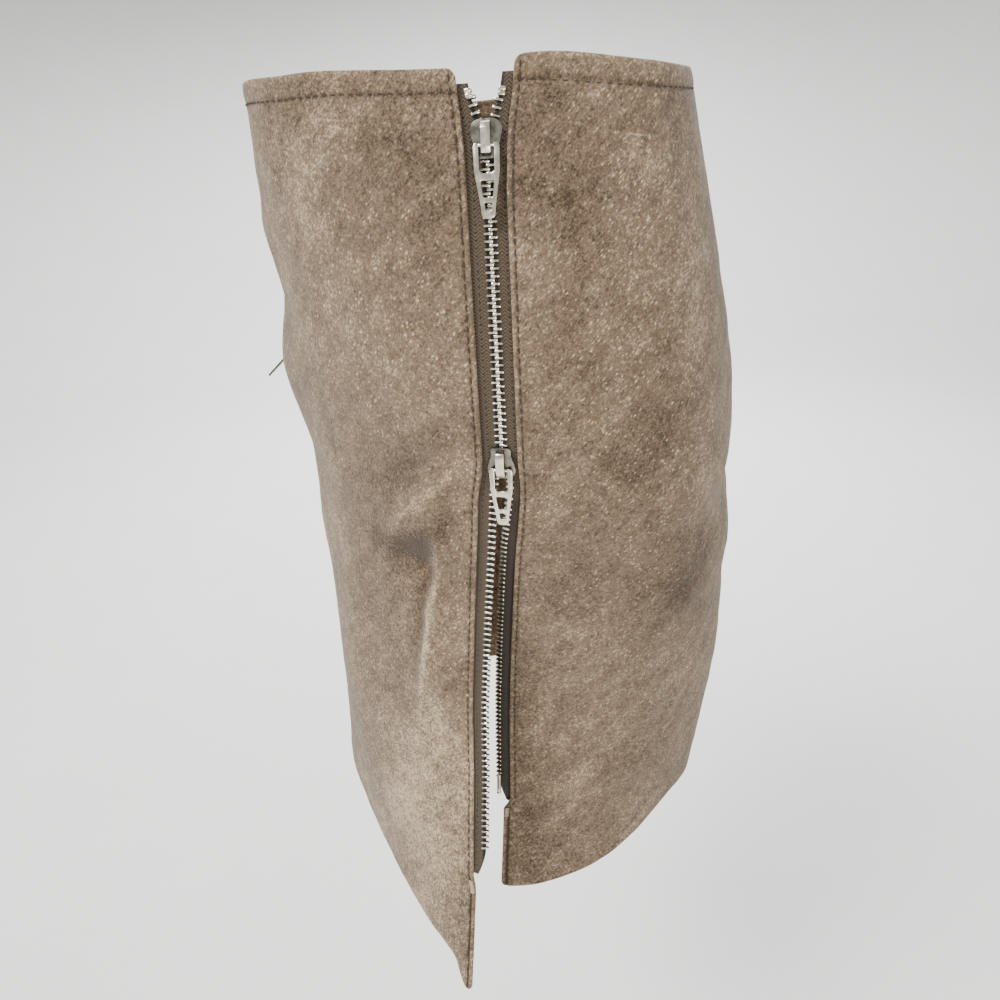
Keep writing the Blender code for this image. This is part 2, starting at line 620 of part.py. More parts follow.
def tab_mesh(cutters):
    """Pull tab with its bar on the X axis, hanging along -Y."""
    slot_end = -TAB_SLOT_LONG
    right = [(TAB_SLOT_HALF - TAB_SLOT_CORNER, slot_end),
             (TAB_SLOT_HALF, slot_end + TAB_SLOT_CORNER), (TAB_SLOT_HALF, TAB_ARM_END),
             (TAB_TOP_HALF - TAB_CORNER, TAB_ARM_END), (TAB_TOP_HALF, TAB_ARM_END - TAB_CORNER)]
    right += [(half, -along) for along, half in TAB_OUTLINE]
    plate = right + [(-half, along) for half, along in reversed(right)]
    half_thick = TAB_THICK / 2
    tab = flat_plate("tab_plate", plate, -half_thick, half_thick, cutters)
    for number, (top, low, top_half, low_half) in enumerate(TAB_WINDOWS):
        window = ((top_half, -top), (-top_half, -top), (-low_half, -low), (low_half, -low))
        hole = flat_plate(f"tab_window_{number}", window, -TAB_THICK, TAB_THICK, cutters)
        combine(tab, hole, "DIFFERENCE")
    bar_mesh = bmesh.new()
    bmesh.ops.create_cone(bar_mesh, cap_ends=True, segments=TAB_BAR_SIDES, radius1=half_thick * MM,
                          radius2=half_thick * MM, depth=2 * (TAB_SLOT_HALF + TAB_BAR_SINK) * MM,
                          matrix=Matrix.Rotation(math.pi / 2, 4, "Y"))
    data = bpy.data.meshes.new("tab_bar")
    bar_mesh.to_mesh(data)
    bar_mesh.free()
    bar = bpy.data.objects.new("tab_bar", data)
    cutters.objects.link(bar)
    combine(tab, bar, "UNION")
    tab.hide_render = True
    tab.display_type = "WIRE"
    return settled_mesh(tab, "pull_tab")


def clip_mesh(name, wide, long, thick, wall, cutters):
    """A clip folded over the tape's edge: its mouth opens to +X, the edge is at X = 0."""
    end = long / 2
    body = flat_plate(name + "_body", ((-wall, -end), (wide, -end), (wide, end), (-wall, end)),
                      -thick / 2, thick / 2, cutters)
    mouth_half = TAPE_THICK / 2 + SEAM_GAP
    end += CUT_PAST
    mouth = ((-SEAM_GAP, -end), (wide + CUT_PAST, -end), (wide + CUT_PAST, end),
             (-SEAM_GAP, end))
    combine(body, flat_plate(name + "_mouth", mouth, -mouth_half, mouth_half, cutters),
            "DIFFERENCE")
    body.hide_render = True
    body.display_type = "WIRE"
    return settled_mesh(body, name)


def place(name, mesh, frame, material, collection):
    thing = bpy.data.objects.new(name, mesh)
    if not mesh.materials:
        mesh.materials.append(material)
    thing.matrix_world = frame
    collection.objects.link(thing)
    return thing


def slider_and_tab(name, panel, edge, crown_drop, crown_up, meshes, metal, collection, swing):
    """A slider on its zip, and its pull tab hanging from the bridge."""
    middle_drop = crown_drop + (SLIDER_LONG / 2 if crown_up else -SLIDER_LONG / 2)
    frame = zip_frame(panel, edge, middle_drop)
    if crown_up:
        body_turn = Matrix.Translation((0, -SLIDER_LONG / 2 * MM, 0))
    else:
        body_turn = Matrix.Rotation(math.pi, 4, "Z") @ Matrix.Translation(
            (0, -SLIDER_LONG / 2 * MM, 0))
    place("slider_" + name, meshes["slider"], frame @ body_turn, metal, collection)
    pivot = Matrix.Translation((0, SLIDER_LONG * (0.5 - PIVOT_FRACTION) * MM, PIVOT_OUT * MM))
    hinge = frame @ pivot
    down_here = hinge.to_3x3().inverted() @ Vector((0, 0, -1))
    hang = math.atan2(down_here.z, -down_here.y)
    hang = max(hang, 0.0) + math.radians(swing)
    place("tab_" + name, meshes["tab"], hinge @ Matrix.Rotation(-hang, 4, "X"), metal, collection)


def main():
    clear_scene()
    collection = new_collection(COLLECTION)
    cutters = new_collection("cutters")
    cutters.hide_render = True
    suede = make_material("suede", (0.30, 0.23, 0.17), 0.95, 0.0)
    tape_cloth = make_material("zip_tape", (0.16, 0.11, 0.08), 0.85, 0.0)
    metal = make_material("satin_metal", (0.62, 0.62, 0.60), 0.35, 1.0)
    panels = {row[0]: Panel(*row) for row in PANELS}
    for panel in panels.values():
        make_panel(panel, suede, collection)
    meshes = {"slider": slider_mesh(cutters), "tab": tab_mesh(cutters),
              "stop": clip_mesh("stop", STOP_WIDE, STOP_LONG, STOP_THICK, STOP_WALL, cutters),
              "pin": clip_mesh("pin", PIN_WIDE, PIN_LONG, PIN_THICK, PIN_WALL, cutters)}
    front = panels["front_panel"]
    for side, low_slider, swing in (("left", SLIDER_LOW_LEFT, 0.0),
                                    ("right", SLIDER_LOW_RIGHT, TAB_SWING_RIGHT_LOW)):
        edge = "zip_" + side
        side_panel = panels[side + "_side_panel"]
        for part, panel in (("front", front), ("side", side_panel)):
            name = f"{part}_{side}"
            make_tape("tape_" + name, panel, edge, tape_cloth, collection)
            turned = Matrix.Rotation(math.pi if edge == panel.edges[1] else 0, 4, "Y")
            for kind, drop in (("stop", STOP_DROP), ("pin", PIN_DROP)):
                if kind == "pin" and part == "front":
                    continue
                frame = zip_frame(panel, edge, drop, on_tape_edge=True) @ turned
                place(f"{kind}_{name}", meshes[kind], frame, metal, collection)
        slider_and_tab(f"{side}_top", front, edge, CROWN_TOP, True, meshes, metal,
                       collection, 0.0)
        slider_and_tab(f"{side}_low", front, edge, low_slider + SLIDER_LONG, False, meshes,
                       metal, collection, swing)


main()
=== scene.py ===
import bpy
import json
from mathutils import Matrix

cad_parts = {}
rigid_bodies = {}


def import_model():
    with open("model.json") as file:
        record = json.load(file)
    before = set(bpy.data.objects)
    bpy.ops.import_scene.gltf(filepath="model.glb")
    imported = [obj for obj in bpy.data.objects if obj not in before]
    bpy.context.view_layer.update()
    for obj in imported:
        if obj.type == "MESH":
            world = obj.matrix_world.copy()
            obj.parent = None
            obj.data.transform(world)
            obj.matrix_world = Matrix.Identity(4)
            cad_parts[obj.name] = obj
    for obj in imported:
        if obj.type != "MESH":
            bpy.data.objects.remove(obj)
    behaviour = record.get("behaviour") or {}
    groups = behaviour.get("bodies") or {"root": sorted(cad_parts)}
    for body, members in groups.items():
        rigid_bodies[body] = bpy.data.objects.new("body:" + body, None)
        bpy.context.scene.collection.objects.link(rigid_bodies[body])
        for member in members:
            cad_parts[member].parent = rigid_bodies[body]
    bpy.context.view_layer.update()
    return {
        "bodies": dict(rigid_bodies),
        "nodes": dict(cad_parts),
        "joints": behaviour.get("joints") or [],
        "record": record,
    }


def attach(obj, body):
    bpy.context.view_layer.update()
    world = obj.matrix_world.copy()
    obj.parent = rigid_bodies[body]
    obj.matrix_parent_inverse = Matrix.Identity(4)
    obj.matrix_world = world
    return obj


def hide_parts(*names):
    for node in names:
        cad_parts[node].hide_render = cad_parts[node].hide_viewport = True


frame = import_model()

# Suede mini skirt, dressed: a fine shell for each panel, sewing, woven tapes, teeth and
# rounded metal pieces. Tables and sizes are in millimetres; -Y is the front.

import json
import math

import bpy
import numpy as np
from mathutils import Matrix, Vector, noise

MM = 0.001
BODY = "skirt"

# ================================================================ viewpoint and light
CAMERA_TURN = 56.26         # degrees round from the front to the wearer's left
CAMERA_AIM = 55.46
CAMERA_TILT = 24.8
CAMERA_ROLL = -3.6
CAMERA_AWAY = 437.5
CAMERA_HEIGHT = -33.3
CAMERA_LENS = 27.0
CAMERA_FRAME = 36.0         # width of its frame
# The floor, in metres.
FLOOR_HEIGHT = -1.0
FLOOR_SIZE = 24
FLOOR_CELL = 0.3
SWEEP_START = 3.2           # distance at which it begins to sweep up
SWEEP_LONG = 4.0            # how gently it does
SWEEP_TOP = 6.0
WORLD_STRENGTH = 0.55
# Name, place and aim in metres, size in metres, watts, colour.
LAMPS = (
    ("lamp_above", (0.2, -1.8, 2.0), (0, 0, -0.2), 0.8, 95, (1.0, 0.98, 0.95)),
    ("lamp_front", (2.0, -0.9, -0.4), (0, 0, -0.2), 0.9, 26, (1.0, 0.99, 0.97)),
    ("lamp_back", (-1.4, 1.8, 1.2), (0, 0, -0.2), 1.2, 45, (1.0, 1.0, 1.0)),
    ("lamp_floor", (-2.3, 1.5, 1.4), (-2.3, 1.5, -1.0), 3.0, 170, (1.0, 1.0, 1.0)),
)

# ================================================================ driving sizes
LENGTH = 430.0              # waist edge to hem edge, straight down
SUEDE = 1.3                 # one layer of suede
SUEDE_TURNED = 2.4          # two layers, where an edge is turned in
WAIST_TURN = 10.0           # depth of the turned waist edge
HEM_TURN = 50.0             # depth of the turned hem
ZIP_TURN = 12.0             # width of the turned edges along the zips
TURN_STEP = 1.6             # width of the step where a turned edge ends
SEAM_GAP = 0.3              # between a tape and its panel
SEAM_MEET = 0.01            # of each panel from the middle of a back seam, drawn tight
CORNER_ROUND = 4.0          # rounding of the panel corners beside the zips
CORNER_REACH = 12.0         # how far up or down the panel it is felt

TAPE_THICK = 0.5
TAPE_WIDE = 14.0
TAPE_TOP = 5.0              # drop at which the tapes begin
TAPE_END = 377.0            # drop at which they end, just above the turned hem
TAPE_DEPTH = SUEDE_TURNED + SEAM_GAP + TAPE_THICK / 2   # middle of the tape, below the suede
TAPE_TUCK = 2.5             # how far the loose edge of a tape turns in at the hem

CROWN_TOP = 20.5            # drop of the upper slider's wide end
SLIDER_LONG = 14.5
SLIDER_LOW_LEFT = 151.5     # drop of the lower slider's narrow end, left zip
SLIDER_LOW_RIGHT = 131.0    # and right zip
PLATE_OUT = 2.3             # outer face of the slider's plates, from the tape's middle
PLATE_IN = 1.3              # inner face
SLOT_HALF = 0.95            # half height of the slot that the tape runs in
BRIDGE_WIDE = 3.6
PIVOT_OUT = 3.7             # the pull tab's bar, from the tape's middle
PIVOT_FRACTION = 0.69       # place of the bar, from the slider's upper end
TAB_THICK = 1.4
TAB_ARM_END = 0.9           # how far the arms pass the bar
TAB_SWING_RIGHT_LOW = 46.0  # degrees that the right zip's lower tab stands out

STOP_WIDE = 2.0             # the top stops, clipped over the tapes' edges
STOP_THICK = 2.6
STOP_WALL = 1.1
STOP_DROP = 11.0            # drop of a stop's middle
PIN_LONG = 13.0             # the pins at the foot of the side tapes
PIN_WIDE = 1.2
PIN_THICK = 1.8
PIN_WALL = 0.9
PIN_DROP = 370.0

# ================================================================ the form of the skirt
# One row for each level: half of a ring that is mirrored about its sway.
# front_y and back_y lie on the middle line; zip, side and seam are points on the left.
# Columns: drop, front_y, zip_x, zip_y, side_x, side_y, seam_x, seam_y, back_y, sway.
SECTIONS = (
    (0, -110, 95, -53, 127, 6, 86, 69, 91, 0),
    (50, -107, 102, -60, 137, 7, 93, 76, 98, 1),
    (110, -102, 107, -66, 146, 8, 101, 84, 105, 3),
    (175, -99, 108, -66, 151, 10, 106, 91, 110, 1),
    (245, -99, 104, -62, 147, 13, 109, 95, 113, -1),
    (320, -103, 104, -62, 136, 18, 106, 95, 114, 1),
    (385, -106, 108, -69, 122, 24, 95, 87, 115, 11),
    (430, -108, 111, -79, 109, 29, 83, 77, 117, 22),
)

# The panels in ring order. Knots 0 to 8 go round the ring from the middle of the front:
# 1 left zip, 2 side, 3 left seam, 4 back, 5 right seam, 6 side, 7 right zip.
# Columns: name, first knot, last knot, first edge, last edge.
PANELS = (
    ("front_panel", -1, 1, "zip_right", "zip_left"),
    ("left_side_panel", 1, 3, "zip_left", "seam"),
    ("back_panel", 3, 5, "seam", "seam"),
    ("right_side_panel", 5, 7, "seam", "zip_right"),
)

# Below the lower sliders the zips are open, and the loose edges part.
# A row moves one edge of a panel at the hem; the move fades across the panel by a power.
# Columns: panel, edge, move in x, move in y, power of the fade.
PARTINGS = (
    ("front_panel", "zip_left", 13.6, -47.0, 2.5),
    ("left_side_panel", "zip_left", -39.7, -1.4, 2.0),
    ("front_panel", "zip_right", -1.0, 0.0, 2.5),
    ("right_side_panel", "zip_right", 9.0, -1.0, 2.0),
)
PARTING_SOFTNESS = 0.05

# A swelling over the right zip's lower slider: its middle drop, half length, half width on
# either side of the zip, and height outward.
SWELLING = ("zip_right", 142.0, 42.0, 85.0, 5.4)

# Distance from the middle of a zip to the edge of its tape and to the edge of the suede.
# The rows of the slit count from the lower slider's crown, those of its foot from the hem.
# Columns: drop, tape edge, suede edge.
ZIP_TOP = {
    "front_panel": ((0, 7.6, 11.4), (13, 6.0, 10.6), (20.5, 4.0, 9.9), (29, 1.5, 9.2),
                    (45, 1.5, 8.9)),
    "side_panel": ((0, 7.6, 12.0), (13, 6.0, 10.6), (20.5, 4.0, 9.2), (29, 1.5, 8.2),
                   (45, 1.5, 7.4)),
}
ZIP_SLIT = {
    "front_panel": ((-8, 1.5, 9.0), (0, 4.2, 10.0), (10, 5.4, 12.0), (40, 5.2, 11.8),
                    (125, 5.0, 11.2), (160, 3.4, 9.6)),
    "side_panel": ((-8, 1.5, 7.5), (0, 4.0, 8.0), (10, 3.4, 8.2), (40, 1.5, 7.5)),
}
ZIP_FOOT = {
    "front_panel": ((-64, 3.6, 9.6), (-51, 3.6, 9.4), (-46, 3.6, 7.4), (10, 3.6, 7.4)),
    "side_panel": ((-64, 1.5, 7.5), (-51, 1.5, 7.5), (-46, 1.5, 4.4), (10, 1.5, 4.4)),
}

# How the waist edge and the hem rise and dip: drop beyond the nominal edges at a share of
# the way across each panel. Columns: share, waist, hem.
EDGES = {
    "front_panel": ((0.0, 1.0, 1.0), (0.2, -2.6, 2.5), (0.45, -2.2, 2.5), (0.6, -1.0, -0.5),
                    (0.7, -0.9, -4.0), (0.8, 0.3, -5.7), (0.9, 1.7, -8.2), (0.94, 2.1, -7.0),
                    (0.97, 2.4, -0.5), (1.0, 2.6, 1.0)),
    "left_side_panel": ((0.0, -0.6, 3.5), (0.08, -0.9, 2.8), (0.16, 0.1, 1.4),
                        (0.36, 3.1, -2.6), (0.5, 4.3, -9.0), (0.6, 4.3, -15.0),
                        (0.7, 4.0, -18.0), (0.82, 3.1, -16.5), (1.0, 2.5, -13.0)),
    "back_panel": ((0.0, 2.5, -13.0), (0.2, 1.5, -9.5), (0.5, 1.0, -5.0), (1.0, 2.0, -4.0)),
    "right_side_panel": ((0.0, 2.0, -4.0), (0.5, 3.5, -3.0), (0.84, 0.1, 0.5), (1.0, -0.6, 2.0)),
}
EDGE_REACH = 60.0           # how far below the waist and above the hem they act in full

# Soft folds and dents: middle in mm from the panel's first edge and from the waist,
# half length and half width, lean of its long axis from upright, height outward.
# Columns: panel, across, drop, half length, half width, lean, height.
FOLDS = (
    ("front_panel", 40, 60, 20, 40, 0, 4.3),
    ("front_panel", 42, 98, 17, 38, 0, -3.4),
    ("front_panel", 52, 143, 24, 34, 0, 1.6),
    ("front_panel", 45, 190, 24, 40, 0, -3.2),
    ("front_panel", 45, 245, 30, 36, 0, 1.5),
    ("front_panel", 184, 222, 24, 12, 76, -3.6),
    ("front_panel", 190, 264, 56, 14, -6, 3.8),
    ("front_panel", 184, 187, 36, 11, -46, 2.8),
    ("front_panel", 174, 166, 34, 12, -46, -1.6),
    ("front_panel", 150, 300, 70, 24, -6, -1.8),
    ("front_panel", 110, 340, 60, 22, 4, 1.4),
    ("front_panel", 95, 30, 18, 40, 0, 1.0),
    ("left_side_panel", 150, 203, 13, 45, 0, -3.0),
    ("left_side_panel", 148, 236, 16, 42, 0, 1.8),
    ("left_side_panel", 146, 262, 12, 42, 0, -0.9),
    ("left_side_panel", 138, 318, 40, 40, 0, 2.0),
    ("left_side_panel", 160, 150, 24, 40, 0, 1.2),
    ("left_side_panel", 60, 120, 46, 13, 48, 0.9),
    ("left_side_panel", 66, 178, 52, 14, 46, -1.0),
    ("left_side_panel", 72, 214, 50, 14, 50, 1.1),
    ("left_side_panel", 60, 268, 48, 15, 42, -1.0),
    ("left_side_panel", 86, 330, 44, 16, 30, 1.0),
    ("back_panel", 60, 120, 60, 17, 35, 1.2),
    ("back_panel", 150, 150, 56, 16, -38, 1.1),
    ("back_panel", 104, 240, 70, 20, 8, -1.8),
    ("back_panel", 70, 330, 52, 16, -14, 1.5),
    ("back_panel", 156, 320, 60, 15, 16, 1.3),
    ("right_side_panel", 36, 200, 14, 44, 0, -2.4),
    ("right_side_panel", 40, 240, 18, 44, 0, 1.8),
    ("right_side_panel", 110, 140, 48, 14, -44, 1.0),
    ("right_side_panel", 100, 215, 52, 15, -48, 1.2),
    ("right_side_panel", 116, 290, 50, 15, -30, -1.2),
)

FOLD_FADE = 16.0            # width over which the folds die out at a panel's edge
FOLD_START_ZIP = 16.0       # distance from a zip's middle where they begin
FOLD_AT_WAIST = 0.2         # what is left of them at the waist edge

# ---------------------------------------------------------------- hardware outlines, mm
# Slider seen from outside: along from the narrow end to the crown, half width.
SLIDER_OUTLINE = ((0.0, 3.6), (0.4, 4.2), (3.5, 4.5), (8.0, 5.9), (11.0, 6.3), (12.8, 5.6),
                  (14.2, 3.6), (14.5, 2.2))
CHANNEL_NARROW = 3.3
CHANNEL_WIDE = 5.4
CHANNEL_BEND = 6.0
CHANNEL_SPLIT = 7.2
WEDGE_HALF = 1.2
WEDGE_FULL = 12.6
# Bridge seen from the side: along the slider, height above the tape's middle.
BRIDGE_OUTLINE = ((0.8, 2.1), (0.8, 3.4), (1.6, 5.2), (3.4, 6.0), (10.6, 6.0), (12.6, 5.0),
                  (13.6, 3.2), (13.6, 2.1), (12.2, 2.1), (12.0, 3.4), (10.9, 4.85),
                  (3.6, 4.95), (2.6, 4.2), (2.2, 2.1))
# Pull tab: distance below the bar, half width.
TAB_OUTLINE = ((9.5, 5.1), (13.0, 4.5), (22.0, 3.1), (25.6, 2.7), (26.35, 2.35), (26.8, 1.8),
               (27.0, 0.9))
TAB_TOP_HALF = 5.3
TAB_SLOT_HALF = 3.0
TAB_SLOT_LONG = 10.2
# Windows: from, to, half width at each end.
TAB_WINDOWS = ((12.9, 19.2, 2.7, 1.9), (21.0, 24.0, 1.5, 1.2))
TAB_WINDOW_CORNER = 0.35    # corners cut off the windows
FRAME_REACH = 4.0           # how far above and below a metal piece its slope is read
LATTICE_ROWS = 345          # points of a panel's smooth surface, down and across
LATTICE_COLUMNS = 193


# ---------------------------------------------------------------- smooth curves through rows
def smooth_through(knots, rows, places, closed=False):
    """Cubic curve through the rows at their knots, read at the places."""
    knots = np.asarray(knots, float)
    rows = np.asarray(rows, float)
    steps = np.diff(knots)
    if closed:
        chords = (np.roll(rows, -1, axis=0) - rows) / steps[:, None]
        steps_before = np.roll(steps, 1)
        chords_before = np.roll(chords, 1, axis=0)
        slopes = (chords_before * steps[:, None] + chords * steps_before[:, None])
        slopes = slopes / (steps + steps_before)[:, None]
        places = (np.asarray(places, float) - knots[0]) % (knots[-1] - knots[0]) + knots[0]
    else:
        chords = np.diff(rows, axis=0) / steps[:, None]
        slopes = np.zeros_like(rows)
        weights = (steps[1:] + steps[:-1])[:, None]
        slopes[1:-1] = (chords[:-1] * steps[1:, None] + chords[1:] * steps[:-1, None]) / weights
        slopes[0] = chords[0] * 1.5 - slopes[1] * 0.5
        slopes[-1] = chords[-1] * 1.5 - slopes[-2] * 0.5
        places = np.asarray(places, float)
    spans = len(steps)
    left = np.clip(np.searchsorted(knots, places, side="right") - 1, 0, spans - 1)
    right = (left + 1) % len(rows)
    size = steps[left][:, None]
    t = ((places - knots[left]) / steps[left])[:, None]
    return ((2 * t**3 - 3 * t**2 + 1) * rows[left] + (t**3 - 2 * t**2 + t) * size * slopes[left]
            + (3 * t**2 - 2 * t**3) * rows[right] + (t**3 - t**2) * size * slopes[right])


def section_at(drops):
    table = np.array(SECTIONS, float)
    return smooth_through(table[:, 0], table[:, 1:], drops)


def ring_points(section):
    """The eight knots of one level, from the middle of the front round to the left."""
    front_y, zip_x, zip_y, side_x, side_y, seam_x, seam_y, back_y, sway = section
    points = np.array(((0, front_y), (zip_x, zip_y), (side_x, side_y), (seam_x, seam_y),
                       (0, back_y), (-seam_x, seam_y), (-side_x, side_y), (-zip_x, zip_y)))
    return points + (sway, 0)


def panel_curve(points, first_knot, last_knot):
    """Points evenly spaced along one panel's stretch of a ring, and its length."""
    closed = np.vstack((points, points[:1]))
    lengths = np.linalg.norm(np.diff(closed, axis=0), axis=1)
    knots = np.concatenate(((0.0,), np.cumsum(lengths)))
    turn = knots[-1]
    ends = [knots[knot % 8] + (turn if knot > 8 else 0) - (turn if knot < 0 else 0)
            for knot in (first_knot, last_knot)]
    fine = smooth_through(knots, points, np.linspace(*ends, 4 * LATTICE_COLUMNS), closed=True)
    run = np.concatenate(((0.0,), np.cumsum(np.linalg.norm(np.diff(fine, axis=0), axis=1))))
    even = np.linspace(0, run[-1], LATTICE_COLUMNS)
    return np.column_stack([np.interp(even, run, fine[:, axis]) for axis in (0, 1)]), run[-1]


def slit_start(edge):
    """Drop of the lower slider's crown, where the zip parts."""
    return (SLIDER_LOW_LEFT if edge == "zip_left" else SLIDER_LOW_RIGHT) + SLIDER_LONG


def parting_at(edge, drops):
    """How far a loose edge has moved at each drop, 0 above its slit and 1 at the hem."""
    start = slit_start(edge)
    share = np.clip((drops - start) / (LENGTH - start), 0, None)
    soft = PARTING_SOFTNESS
    return (np.sqrt(share**2 + soft**2) - soft) / (math.sqrt(1 + soft**2) - soft)


def zip_edges(panel, edge, drops):
    """Tape edge and suede edge, as distances from the middle of the zip."""
    start = slit_start(edge)
    kind = "front_panel" if panel.name == "front_panel" else "side_panel"
    rows = ZIP_TOP[kind] + tuple((start + drop, tape, suede)
                                 for drop, tape, suede in ZIP_SLIT[kind])
    rows += tuple((LENGTH + drop, tape, suede) for drop, tape, suede in ZIP_FOOT[kind])
    table = np.array(rows)
    return [np.interp(drops, table[:, 0], table[:, column]) for column in (1, 2)]


def soft_rows(table, panel, across, drops):
    """The sum of a table's soft places at each point of a panel."""
    total = np.zeros(np.broadcast(across, drops).shape)
    for name, middle, drop, half_long, half_wide, lean, amount in table:
        if name == panel.name:
            lean = math.radians(lean)
            aside = across - middle
            below = drops - drop
            long_way = below * math.cos(lean) + aside * math.sin(lean)
            wide_way = aside * math.cos(lean) - below * math.sin(lean)
            total += amount * np.exp(-(long_way / half_long)**2 - (wide_way / half_wide)**2)
    return total


class Panel:
    """The smooth surface of one panel, read by distance across and drop."""

    def __init__(self, name, first_knot, last_knot, first_edge, last_edge):
        self.name = name
        self.edges = (first_edge, last_edge)
        self.drops = np.linspace(0, LENGTH, LATTICE_ROWS)
        share = np.linspace(0, 1, LATTICE_COLUMNS)
        rows = [panel_curve(ring_points(section), first_knot, last_knot)
                for section in section_at(self.drops)]
        self.widths = np.array([width for curve, width in rows])
        self.points = np.zeros((LATTICE_ROWS, LATTICE_COLUMNS, 3))
        self.points[..., :2] = [curve for curve, width in rows]
        self.points[..., 2] = -self.drops[:, None]
        for panel, edge, move_x, move_y, fade in PARTINGS:
            if panel == name:
                near = share if edge == last_edge else 1 - share
                amount = parting_at(edge, self.drops)[:, None] * near**fade
                self.points[..., 0] += amount * move_x
                self.points[..., 1] += amount * move_y
        self.normals = self.surface_normals()
        edge, drop, half_long, half_wide, height = SWELLING
        if edge in self.edges:
            near = share if edge == last_edge else 1 - share
            away = (1 - near) * self.widths[:, None]
            below = self.drops[:, None] - drop
            amount = height * np.exp(-(below / half_long)**2 - (away / half_wide)**2)
            self.points += self.normals * amount[..., None]
            self.normals = self.surface_normals()

    def surface_normals(self):
        down = np.gradient(self.points, axis=0)
        along = np.gradient(self.points, axis=1)
        normals = np.cross(down, along)
        return normals / np.linalg.norm(normals, axis=2, keepdims=True)

    def width(self, drops):
        return np.interp(drops, self.drops, self.widths)

    def read(self, lattice, across, drops):
        """The lattice between its points, in straight lines."""
        across, drops = np.broadcast_arrays(np.asarray(across, float), np.asarray(drops, float))
        column = np.clip(across / self.width(drops), 0, 1) * (LATTICE_COLUMNS - 1)
        row = drops / LENGTH * (LATTICE_ROWS - 1)
        c = np.clip(column.astype(int), 0, LATTICE_COLUMNS - 2)
        r = np.clip(row.astype(int), 0, LATTICE_ROWS - 2)
        u = (column - c)[..., None]
        v = (row - r)[..., None]
        upper = lattice[r, c] * (1 - u) + lattice[r, c + 1] * u
        lower = lattice[r + 1, c] * (1 - u) + lattice[r + 1, c + 1] * u
        return upper * (1 - v) + lower * v

    def at(self, across, drops, out=0.0, folds=False):
        """Points on the panel, moved out of it by a distance."""
        normal = self.read(self.normals, across, drops)
        out = np.asarray(out, float) * np.ones(normal.shape[:-1])
        if folds:
            out = out + self.fold_height(across, drops)
        return self.read(self.points, across, drops) + normal * out[..., None]

    def fold_height(self, across, drops):
        return soft_rows(FOLDS, self, across, drops) * self.edge_fade(across, drops)

    def edge_fade(self, across, drops):
        """Folds die out at the seams and in the stiff turned edges along the zips."""
        fade = np.clip(drops / WAIST_TURN, FOLD_AT_WAIST, 1)
        for edge, distance in zip(self.edges, (across, self.width(drops) - across)):
            start = 0.0 if edge == "seam" else FOLD_START_ZIP
            share = np.clip((distance - start) / FOLD_FADE, 0, 1)
            fade = fade * share**2 * (3 - 2 * share)
        return fade

    def suede_limits(self, drops):
        """Where the suede begins and ends across the panel."""
        limits = []
        for edge in self.edges:
            inset = SEAM_MEET if edge == "seam" else zip_edges(self, edge, drops)[1]
            limits.append(inset * np.ones_like(drops))
        return limits[0], self.width(drops) - limits[1]


def soft_step(distance):
    """1 within a turned edge and 0 past its step."""
    return np.clip(0.5 - distance / TURN_STEP, 0, 1)


def corner_cut(from_edge):
    """How much a rounded corner takes off the end of a panel, near its edge."""
    inside = np.clip(CORNER_ROUND - from_edge, 0, CORNER_ROUND)
    return CORNER_ROUND - np.sqrt(CORNER_ROUND**2 - inside**2)


def edge_offsets(panel, share):
    """How far the waist edge and the hem lie below their nominal drops."""
    table = np.array(EDGES[panel.name])
    return [smooth_through(table[:, 0], table[:, 1:], share)[..., column] for column in (0, 1)]


def shifted(panel, drops, share):
    """Drops that follow the waist edge near the waist and the hem near the hem."""
    waist, hem = edge_offsets(panel, share)
    toward_hem = np.clip((drops - EDGE_REACH) / (LENGTH - 2 * EDGE_REACH), 0, 1)
    return drops + waist * (1 - toward_hem) + hem * toward_hem


# ================================================================ finer form of the cloth
# Distances from a turned edge, in mm, at which the shell has lines of points.
ZIP_EDGE_LINES = (0, 0.12, 0.4, 0.9, 1.6, 2.1, 2.5, 2.9, 3.5, 4.6, 6.4, 8.6, 11.2, 12.8, 15.5)
SEAM_EDGE_LINES = (0, 0.15, 0.5, 1.0, 1.5, 2.0, 3.0, 5.0)
WAIST_LINES = (0, 0.12, 0.4, 0.9, 1.8, 3.4, 5.4, 7.2, 8.4, 9.0, 9.6, 10.4, 11.6, 13.5)
HEM_LINES = (0, 0.12, 0.4, 0.9, 2.0, 4.0, 7.0, 48.0, 49.2, 50.0, 50.8, 52.0)
EDGE_LINES_END = 40.0       # lines farther in than this belong to the hem's own stitching
CELL = 2.7                  # spacing of the points elsewhere
NEAREST_LINES = 0.45        # share of it that two lines keep at least
EDGE_KEEP = 20.0            # width along an edge in which the lines stay parallel to it
ZIP_STITCH = 2.5            # topstitching from a folded edge
WAIST_STITCH = 9.0          # topstitching below the waist edge
SEAM_STITCH = 1.6           # edge stitching beside a back seam
STITCH_PITCH = 4.3
STITCH_END = 381.0          # nominal drop at which the stitching along a zip ends

